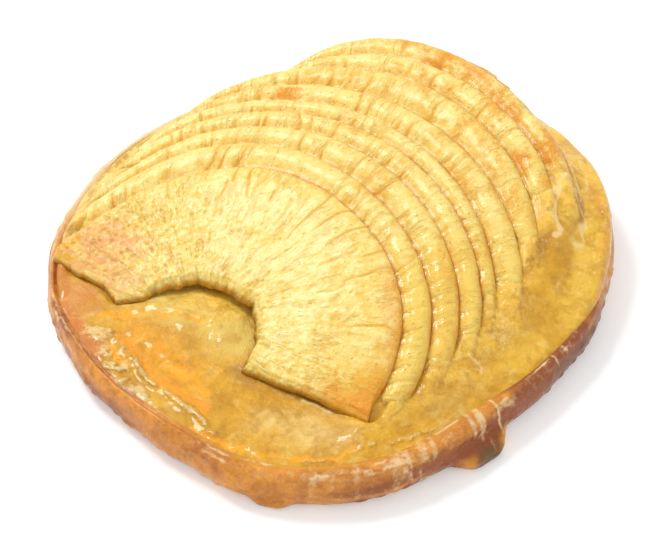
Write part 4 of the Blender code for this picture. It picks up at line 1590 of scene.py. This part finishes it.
    def lower_edge(self, index: int, outer_p: Array, outer_q: Array) -> Array:
        """How far a slice reaches from its round side on the way to its aim.

        Args:
            index: Number of the slice.
            outer_p: P on the round side.
            outer_q: Q on the round side.

        Returns:
            Distances in mm.
        """
        shape = self.slices[index]
        aim_q = shape.middle - self.aim_drop
        share = np.linspace(0.0, 1.0, 160)
        p = outer_p[:, None] + (shape.centre - outer_p)[:, None] * share
        q = outer_q[:, None] + (aim_q - outer_q)[:, None] * share
        under = self.to_world(p, q, self.under(index, p, q))
        room = under[..., 2] - self.base(under) - self.clear
        top, step, middle, half = self.notch
        notched = (np.abs(p - middle) < half) & (q < top + step * index)
        stopped = (room < 0.0) | notched
        stopped[:, -1] = True
        rows = np.arange(len(outer_p))
        after = stopped.argmax(axis=1)
        before = np.maximum(after - 1, 0)
        fall = np.maximum(room[rows, before] - room[rows, after], 0.001)
        extra = np.where(notched[rows, after], 0.0, unit(room[rows, before] / fall))
        found = share[before] + np.where(after > 0, extra, 0.0) * share[1]
        return found * np.hypot(shape.centre - outer_p, aim_q - outer_q)

    def solid_ends(self, index: int) -> Pair:
        """Angles at which a slice's solid ends left and right, in radians."""
        if index == 0:
            return math.radians(self.front_ends[0]), math.radians(self.front_ends[1])
        angles = np.radians(np.arange(90.0, self.widest, 1.0))
        found = []
        for side in (angles, np.pi - angles):
            p, q = self.outline(index, side)
            under = self.to_world(p, q, self.under(index, p, q))
            lowered = under[:, 2] < self.base(under) + self.clear + self.end_lift
            stops = np.flatnonzero(lowered | (self.lower_edge(index, p, q) < self.end_reach))
            found.append(float(side[stops[0]] if len(stops) else side[-1]))
        return found[0], found[1]

    def ends(self, index: int) -> Pair:
        """Angles at which a slice runs out, sunk in the custard, in radians."""
        left, right = self.solid_ends(index)
        if index == 0:
            return left, right
        angles = left + np.radians(np.arange(0.0, self.end_search, 1.0))
        p, q = self.outline(index, angles)
        place = self.to_world(p, q, self.face(index, p, q))
        azimuth = azimuth_of(place[:, 0], place[:, 1])
        limit = self.custard.case.outer_radius(azimuth) - 0.6 * self.custard.case.width_at(azimuth)
        outside = np.hypot(place[:, 0], place[:, 1]) > limit
        stops = np.flatnonzero(outside | (self.beyond(index - 1, p, q) < -1.0))
        return float(angles[stops[0]] if len(stops) else angles[-1]), right - math.radians(self.end_turn)

    def lines(self, index: int, steps: int) -> SliceLines:
        """Lines in from the round side of a slice, from its left end to its right.

        Args:
            index: Number of the slice.
            steps: How many lines.

        Returns:
            The lines.
        """
        share = np.linspace(0.0, 1.0, steps)
        left, right = self.ends(index)
        outer_p, outer_q = self.outline(index, left + (right - left) * share)
        run = np.concatenate([[0.0], np.cumsum(np.hypot(np.diff(outer_p), np.diff(outer_q)))])
        if index == 0:
            edge = np.array(self.front_edge)
            inner_p = np.interp(share, self.front_shares, edge[:, 0])
            inner_q = np.interp(share, self.front_shares, edge[:, 1])
            length = np.hypot(inner_p - outer_p, inner_q - outer_q)
            aside_p, aside_q = (inner_p - outer_p) / length, (inner_q - outer_q) / length
            frayed = layered_noise(run[:, None], 2.6, 520, 4) * step_between(share, 0.0, 0.06)
            length = length + 0.45 * frayed * step_between(share, 1.0, 0.97)
            reach = length
        else:
            shape = self.slices[index]
            off_p, off_q = shape.centre - outer_p, shape.middle - self.aim_drop - outer_q
            far = np.hypot(off_p, off_q)
            aside_p, aside_q = off_p / far, off_q / far
            length = self.lower_edge(index, outer_p, outer_q)
            reach = np.maximum(length, 6.0)
        ragged = 0.15 * layered_noise(run[:, None], 3.4, 500 + index, 3) * step_between(share, 0.0, 0.03)
        if index >= self.blunt_from:
            rim = self.to_world(outer_p, outer_q, self.face(index, outer_p, outer_q))
            start, cut = self.blunt
            past = step_between(rim[:, 0] - self.blunt_step * (index - self.heel), start - 0.5, start + 0.7)
            ragged = ragged - cut * past * (rim[:, 1] > 0.0)
        outer_p, outer_q = outer_p - aside_p * ragged, outer_q - aside_q * ragged
        return SliceLines(outer_p, outer_q, aside_p, aside_q, length, reach, run)

    def relief(self, index: int, p: Array, q: Array, grain: Array, bare: Array, width: Array) -> Array:
        """Fine relief of a slice's face: pillows, cross lines, ripples and puckers.

        Args:
            index: Number of the slice.
            p: P of each place.
            q: Q of each place.
            grain: Coordinates along and across the slice.
            bare: Distance outside the slice above.
            width: Width of the bare strip.

        Returns:
            Heights in mm.
        """
        seed = self.seeds[0] + self.seeds[1] * index
        flat = joined(p, q)
        w = grain[..., 1]
        crack, wave = self.cracks(index, grain, bare, width)
        if index == 0:
            gritty = self.grit(p, q)
            height = 0.16 * layered_noise(flat, 9.0, seed + 7, 2) + 0.08 * layered_noise(flat, 2.2, seed, 3)
            ripples = smooth_noise(grain * (0.5, 0.08), seed + 6) * step_between(w, 18.0, 6.0)
            height = height - 0.13 * crack + 0.05 * ripples
            moved = flat + 0.5 * layered_noise(flat, 2.0, seed + 12, 2)[..., None]
            pits, which = cell_pits(moved, 1.3, seed + 8)
            height = height - gritty * 0.26 * step_between(pits, 0.45, 0.1) * (which > -0.3)
            height = height + 0.5 * painted(self.folds, p + 0.5 * layered_noise(flat, 3.0, seed + 14, 2), q)
            return height + gritty * 0.2 * layered_noise(flat, 1.6, seed + 9, 3)
        pillow = np.abs(wave) ** 0.5 - 0.5
        height = 0.26 * pillow - 0.26 * crack + 0.08 * layered_noise(flat, 1.9, seed, 3)
        return height + 0.10 * layered_noise(flat, 6.0, seed + 1, 2)

    def cracks(self, index: int, grain: Array, bare: Array, width: Array) -> tuple[Array, Array]:
        """Cross lines of a slice, which its relief and its colour share.

        Args:
            index: Number of the slice.
            grain: Coordinates along and across the slice.
            bare: Distance outside the slice above.
            width: Width of the bare strip.

        Returns:
            Depth of the lines from 0 to about 1, and the wave that they lie on.
        """
        seed = self.seeds[0] + self.seeds[1] * index
        s, w = grain[..., 0], grain[..., 1]
        spacing = 3.0 if index == 0 else (4.2 if index > 5 else 2.8)
        bent = s + 0.8 * smooth_noise(joined(s * 0.25, w * 0.3), seed + 3)
        wave = smooth_noise(joined(bent / spacing, w * 0.03), seed + 4)
        deep = np.clip(0.55 + 1.0 * smooth_noise(joined(bent * 0.31, w * 0.2), seed + 5), 0.0, 1.2)
        slope = np.abs(np.gradient(wave)) / np.maximum(np.abs(np.gradient(s)), 1e-4)
        off = np.abs(wave) / np.maximum(slope, 0.03)
        if index == 0:
            near = step_between(w, 30.0, 6.0)
            return 1.1 * np.exp(-(off / 0.32) ** 2) * np.sqrt(deep) * near, wave
        return np.exp(-(off / 0.38) ** 2) * deep * (1.0 - 0.45 * unit(bare / width)), wave

    def grit(self, p: Array, q: Array) -> Array:
        """How grainy and pitted the front slice is at each place."""
        inner = np.array(self.front_edge)
        near = np.full(np.shape(p), 99.0)
        for (ax, ay), (bx, by) in zip(inner[:-1], inner[1:]):
            close = np.maximum(Streak(((ax, ay), (bx, by)), 1.0).mask(p, q), 1e-30)
            near = np.minimum(near, -np.log(close))
        edge = np.exp(-np.sqrt(near) / 3.0)
        leg = painted(self.gritty_end, p, q)
        return unit(np.maximum(leg, 0.75 * edge))

    def surface(self, index: int, lines: SliceLines,
                inward: Array) -> tuple[Array, Array, dict[str, Array]]:
        """Top of a slice at one distance in from the round side.

        Args:
            index: Number of the slice.
            lines: Its lines.
            inward: Distance along each line.

        Returns:
            Points before they sink, how far each has sunk, and its marks.
        """
        p, q = lines.at(inward)
        out = unit(1.0 - inward / (self.edge_width * lines.fit))
        level = self.face(index, p, q) - self.edge_round * (1.0 - np.sqrt(1.0 - out ** 2))
        if index == 0:
            width = inward * 0.0 + 9.0
            bare = inward + 50.0
            level = level - 0.45 * step_between(lines.length - inward, 1.0, 0.0)
            level = level - 0.35 * step_between(inward, 5.0, 0.0)
            off_p, off_q = p - self.core[0], q - self.core[1]
            around = np.arctan2(off_q, off_p)
            grain = joined(around * self.core_arc, self.core_reach - np.hypot(off_p, off_q))
        else:
            width = np.maximum(self.beyond(index - 1, lines.outer_p, lines.outer_q), 0.5)
            bare = self.beyond(index - 1, p, q)
            across = unit(bare / width)
            level = level + self.swell * 4.0 * across * (1.0 - across) * unit(width / 4.0)
            level = level + 0.40 * np.exp(-(np.clip(bare, 0.0, None) / 0.55) ** 2)
            grain = joined(lines.run, inward)
        relief = self.relief(index, p, q, grain, bare, width)
        level = level + relief * step_between(inward, -0.1, 0.9) * step_between(bare, -1.5, 0.3)
        place = self.to_world(p, q, level)
        base = self.base(place)
        place[:, 2] = np.maximum(place[:, 2], base + self.clear + self.ride + self.thin)
        sunk = np.zeros_like(inward)
        if index:
            frayed = 3.4 * layered_noise(joined(p, q), 4.0, 900 + index, 4)
            sunk = step_between(lines.run[-1] - lines.run + frayed, self.sink_right, 1.0)
            if index < self.hidden_from:
                sunk = np.maximum(sunk, step_between(lines.run + 0.5 * frayed, self.sink_left, 0.5))
            sunk = np.maximum(sunk, step_between(inward - lines.length, -0.8, 1.6))
        crack = self.cracks(index, grain, bare, width)[0] * step_between(bare, -0.5, 0.2)
        marks = {"grain": np.column_stack([grain, np.full(len(p), 19.0 * index)]),
                 "toasting": self.toasting(index, p, q, grain, inward, place),
                 "edging": self.edging(index, p, q, bare, inward, width, place),
                 "wetness": self.wetness(index, p, q, crack, sunk, place)}
        return place, sunk, marks

    def sections(self, index: int, steps: int) -> SliceSkin:
        """Cross-sections of a slice from its left end to its right end.

        Args:
            index: Number of the slice.
            steps: How many sections.

        Returns:
            The slice's surface.
        """
        lines = self.lines(index, steps)
        band = list(self.rim_rows)
        band.extend(np.arange(*self.strip_rows).tolist() if index else [])
        shrink = np.minimum(1.0, 0.85 * lines.reach / band[-1])
        rows = [distance * shrink for distance in band]
        start = rows[-1]
        parts = np.linspace(0.0, 1.0, self.hidden_rows if index else self.front_rows)
        rows.extend(start + (lines.reach - start) * part for part in parts[1:])
        loop, tops, sinking, inside, marks = [], [], [], [], []
        for inward in rows:
            place, sunk, row_marks = self.surface(index, lines, inward)
            base = self.base(place)
            tops.append(place.copy())
            sinking.append(sunk)
            inside.append(lines.reach - inward)
            self.sink(place, base, sunk)
            loop.append(place)
            marks.append(row_marks)
        slant = 1.5 if index == 0 else 0.0
        below = [lines.reach + slant, lines.reach * 0.97 + slant * 0.6]
        below.extend([lines.reach * 0.7, lines.reach * 0.35, 0.9 * lines.fit, 0.3 * lines.fit])
        if index == self.heel:
            below.append(-0.3 * lines.fit)
        # Undersides and cut faces get browning and groove brown, partly the browned cut and partly painted
        # shade under the slice; the heel's underside gets browning and a little of the painted crest
        # highlight.
        dull = {"toasting": (0.7, 0.0, 0.0), "edging": (0.7, 0.0, 0.0), "wetness": (0.2, 1.0, 0.3)}
        if index == self.heel:
            dull = {"toasting": (0.45, 0.1, 0.4), "edging": (0.0, 0.0, 0.2), "wetness": (0.3, 0.3, 0.1)}
        for inward in below:
            p, q = lines.at(inward)
            place = self.to_world(p, q, self.under(index, p, q))
            if index == self.heel:
                place = self.inside_wall(place)
            base = self.base(place)
            if index == self.heel:
                place[:, 2] = 0.5 * (place[:, 2] + base) + 0.3 if inward[0] < 0.0 else base + 0.5
            roof, sunk, row_marks = self.surface(index, lines, inward)
            self.sink(roof, base, sunk)
            place[:, 2] = np.minimum(np.maximum(place[:, 2], base + 0.3), roof[:, 2] - 0.35)
            loop.append(place)
            for label, values in dull.items():
                row_marks[label] = np.zeros((steps, 3)) + values
            marks.append(row_marks)
        named = {label: np.stack([row[label] for row in marks], axis=1) for label in marks[0]}
        skin = Skin(np.stack(loop, axis=1), named)
        return SliceSkin(skin, np.stack(tops, axis=1), np.stack(sinking, axis=1), np.stack(inside, axis=1),
                         named["edging"][:, :len(rows), 0])

    def inside_wall(self, place: Array) -> Array:
        """Pull points in so that they stay clear of the pastry wall."""
        radius = np.hypot(place[:, 0], place[:, 1])
        angle = azimuth_of(place[:, 0], place[:, 1])
        moved = place.copy()
        limit = self.custard.case.inner_radius(angle) - self.heel_inset
        moved[:, :2] *= np.minimum(1.0, limit / radius)[:, None]
        return moved

    def toasting(self, index: int, p: Array, q: Array, grain: Array, w: Array, place: Array) -> Array:
        """How browned, burnt and rosy each place of a slice is.

        Args:
            index: Number of the slice.
            p: P of each place.
            q: Q of each place.
            grain: Coordinates along and across the slice.
            w: Distance in from the round side.
            place: World points.

        Returns:
            Three values from 0 to 1 for each place.
        """
        patchy = layered_noise(joined(grain[..., 0], grain[..., 1] * 1.5), 7.0, 700 + index, 3)
        scorched = painted(self.scorched, place[..., 0], place[..., 1])
        if index == 0:
            side = step_between(p, 2.0, 16.0)
            rim = step_between(w, 5.4, 0.2) * side
            corner = painted(self.browned_corner, p, q)
            browned = np.maximum(0.5 * rim, 0.85 * corner) + 0.08 * patchy
            burnt = 0.9 * painted(self.burnt_corner, p, q)
            burnt = np.maximum(burnt, 0.3 * step_between(w, 1.6, 0.0) * side)
            rosy = painted(self.rosy_end, p, q)
            browned = np.maximum(browned, 0.8 * painted(self.browned_end, p, q))
            rosy = rosy * (0.75 + 0.5 * layered_noise(joined(p, q), 5.0, 777, 3))
            rosy = np.maximum(rosy, 0.6 * step_between(w, 6.0, 0.5) * side)
        else:
            late = max(0.0, (index - 5) / 3.0)
            right = step_between(place[..., 0], 0.0, 34.0)
            browned = unit(0.18 + 0.6 * patchy + 0.30 * late * right)
            burnt = np.clip(late * right * (0.36 + 1.1 * patchy), 0.0, 0.85)
            rosy = unit(0.25 * late * right + 0.4 * patchy) * 0.7
        return joined(unit(browned), unit(np.maximum(burnt, scorched)), unit(rosy))

    def edging(self, index: int, p: Array, q: Array, bare: Array, w: Array, width: Array,
               place: Array) -> Array:
        """How much groove brown and painted groove shade, green and painted crest highlight each place of a
        slice has.

        Args:
            index: Number of the slice.
            p: P of each place.
            q: Q of each place.
            bare: Distance outside the slice above.
            w: Distance in from the round side.
            width: Width of the bare strip.
            place: World points.

        Returns:
            Three values from 0 to 1 for each place.
        """
        if index == 0:
            uneven = 0.6 + 0.4 * smooth_noise(joined(p, q) / 3.0, 79)
            rim = np.maximum(0.6 * step_between(w, 0.5, 0.0), 0.5 * step_between(w, 1.5, 0.3))
            return joined(uneven * rim, 0.0 * p, 0.0 * p)
        across = unit(bare / width)
        # Groove: painted shade next to the edge of the slice above and at this strip's rounded rim, mixed
        # with the browning of these edges.
        groove = np.maximum(step_between(bare, 0.9, 0.05), 0.62 * np.exp(-np.clip(bare, 0.0, None) / 1.3))
        groove = np.maximum(groove, 0.5 * step_between(w, 1.0, 0.1))
        groove = groove * (0.75 + 0.25 * smooth_noise(joined(p, q) / 3.0, 77))
        green = painted(self.green, place[..., 0], place[..., 1]) if index > 7 else 0.0 * p
        # Third value: painted highlight along the crest of each bare strip.
        return joined(groove, green, np.exp(-((across - 0.58) / 0.2) ** 2))

    def wetness(self, index: int, p: Array, q: Array, crack: Array, sunk: Array, place: Array) -> Array:
        """How glazed, grainy and cracked each place of a slice is.

        Args:
            index: Number of the slice.
            p: P of each place.
            q: Q of each place.
            crack: Depth of the cross lines.
            sunk: How far each place has sunk into the custard.
            place: World points.

        Returns:
            Three values from 0 to 1 for each place.
        """
        if index == 0:
            return joined(0.0 * p, self.grit(p, q), crack)
        low = painted(self.wet_side, place[..., 0], place[..., 1])
        glazed = unit(np.maximum(low, 1.6 * sunk))
        return joined(glazed, 0.4 * glazed, crack)

    def skin(self, index: int) -> SliceSkin:
        """Finished surface of one slice."""
        return self.sections(index, self.front_columns if index == 0 else self.columns)

    def build(self, index: int, skin: SliceSkin, middle: Pair) -> Piece:
        """Make one slice.

        Args:
            index: Number of the slice.
            skin: Its surface.
            middle: Point in mm that is set on the origin.

        Returns:
            The new piece.
        """
        return skin.skin.build("slice_heel" if index == self.heel else f"slice_{index + 1:02d}", middle)


# -------------------------------------------------------------- light and camera
@dataclass(frozen=True)
class Studio:
    """White floor, soft light all round and the camera."""

    middle: Pair
    aim: Triple = (0.66, -10.0, 10.0)
    aim_up: float = 1.23
    elevation: float = 45.0
    distance: float = 440.0
    lens: float = 125.86
    floor_half: float = 3.0
    floor_white: float = 0.78
    floor_glow: float = 0.28
    sky: float = 0.85

    def camera(self) -> None:
        """Set up the camera and make it the scene's."""
        tilt = math.radians(self.elevation)
        right = Vector((1.0, 0.0, 0.0))
        up = Vector((0.0, math.sin(tilt), math.cos(tilt)))
        back = Vector((0.0, -math.cos(tilt), math.sin(tilt)))
        target = Vector((self.aim[0] - self.middle[0], self.aim[1] - self.middle[1], self.aim[2]))
        place = (target + up * self.aim_up + back * self.distance) * MM
        data = bpy.data.cameras.new("camera")
        data.lens = self.lens
        data.sensor_width = 36.0
        data.clip_start = 0.01
        thing = bpy.data.objects.new("camera", data)
        thing.matrix_world = Matrix.Translation(place) @ Matrix((right, up, back)).transposed().to_4x4()
        bpy.context.scene.collection.objects.link(thing)
        bpy.context.scene.camera = thing

    def floor(self) -> None:
        """Lay the pale floor."""
        mesh = bpy.data.meshes.new("floor")
        half = self.floor_half
        corners = [(-half, -half, 0.0), (half, -half, 0.0), (half, half, 0.0), (-half, half, 0.0)]
        mesh.from_pydata(corners, [], [(0, 1, 2, 3)])
        thing = bpy.data.objects.new("floor", mesh)
        bpy.context.scene.collection.objects.link(thing)
        material, _, shader = open_material("white_floor")
        set_sockets(shader, {
            "Base Color": (self.floor_white,) * 3 + (1.0,),
            "Roughness": 0.9,
            "Specular IOR Level": 0.1,
            "Emission Color": (1.0, 1.0, 1.0, 1.0),
            "Emission Strength": self.floor_glow})
        mesh.materials.append(material)

    def panel(self, name: str, place: Triple, size: float, power: float) -> None:
        """Hang one soft light panel that faces the origin.

        Args:
            name: Name of the light.
            place: Where it hangs, in metres.
            size: Its side in metres.
            power: Its power in watts.
        """
        data = bpy.data.lights.new(name, "AREA")
        data.shape = "SQUARE"
        data.size = size
        data.energy = power
        thing = bpy.data.objects.new(name, data)
        thing.location = place
        thing.rotation_mode = "QUATERNION"
        thing.rotation_quaternion = (-Vector(place)).to_track_quat("-Z", "Y")
        bpy.context.scene.collection.objects.link(thing)

    def light(self) -> None:
        """Light the scene softly from all round and from above."""
        world = bpy.data.worlds.new("studio")
        world.use_nodes = True
        background = world.node_tree.nodes["Background"]
        set_sockets(background, {"Color": (1.0, 1.0, 1.0, 1.0), "Strength": self.sky})
        bpy.context.scene.world = world
        self.panel("key", (-0.40, 0.35, 0.75), 0.26, 4.5)
        self.panel("fill", (0.5, -0.5, 0.6), 0.5, 0.3)
        bpy.context.scene.view_settings.view_transform = "Standard"

    def build(self) -> None:
        """Set up floor, light and camera."""
        self.camera()
        self.floor()
        self.light()


@dataclass(frozen=True)
class Tartlet:
    """The whole tartlet."""

    middle: Pair = (0.35, -0.35)

    def build(self) -> None:
        """Build and dress every piece in order."""
        groups = GroupMaker()
        case = PastryCase()
        custard = CustardFill(case)
        fan = AppleFan(custard)
        skins = [fan.skin(index) for index in range(len(fan.slices))]
        crust = case.build(self.middle)
        fill_piece(crust, "crust", CrustFinish().material(groups))
        filling = custard.build(fan, skins, self.middle)
        fill_piece(filling, "custard", CustardFinish().material(groups))
        flesh = AppleFinish().material(groups)
        for index in range(len(fan.slices)):
            node = "apple_heel" if index == fan.heel else f"apple_slice_{index + 1:02d}"
            fill_piece(fan.build(index, skins[index], self.middle), node, flesh)
        Studio(self.middle).build()


def main() -> None:
    """Build the scene and note its size."""
    logging.basicConfig(level=logging.INFO, format="%(message)s")
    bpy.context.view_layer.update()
    Tartlet().build()


if __name__ == "__main__":
    main()
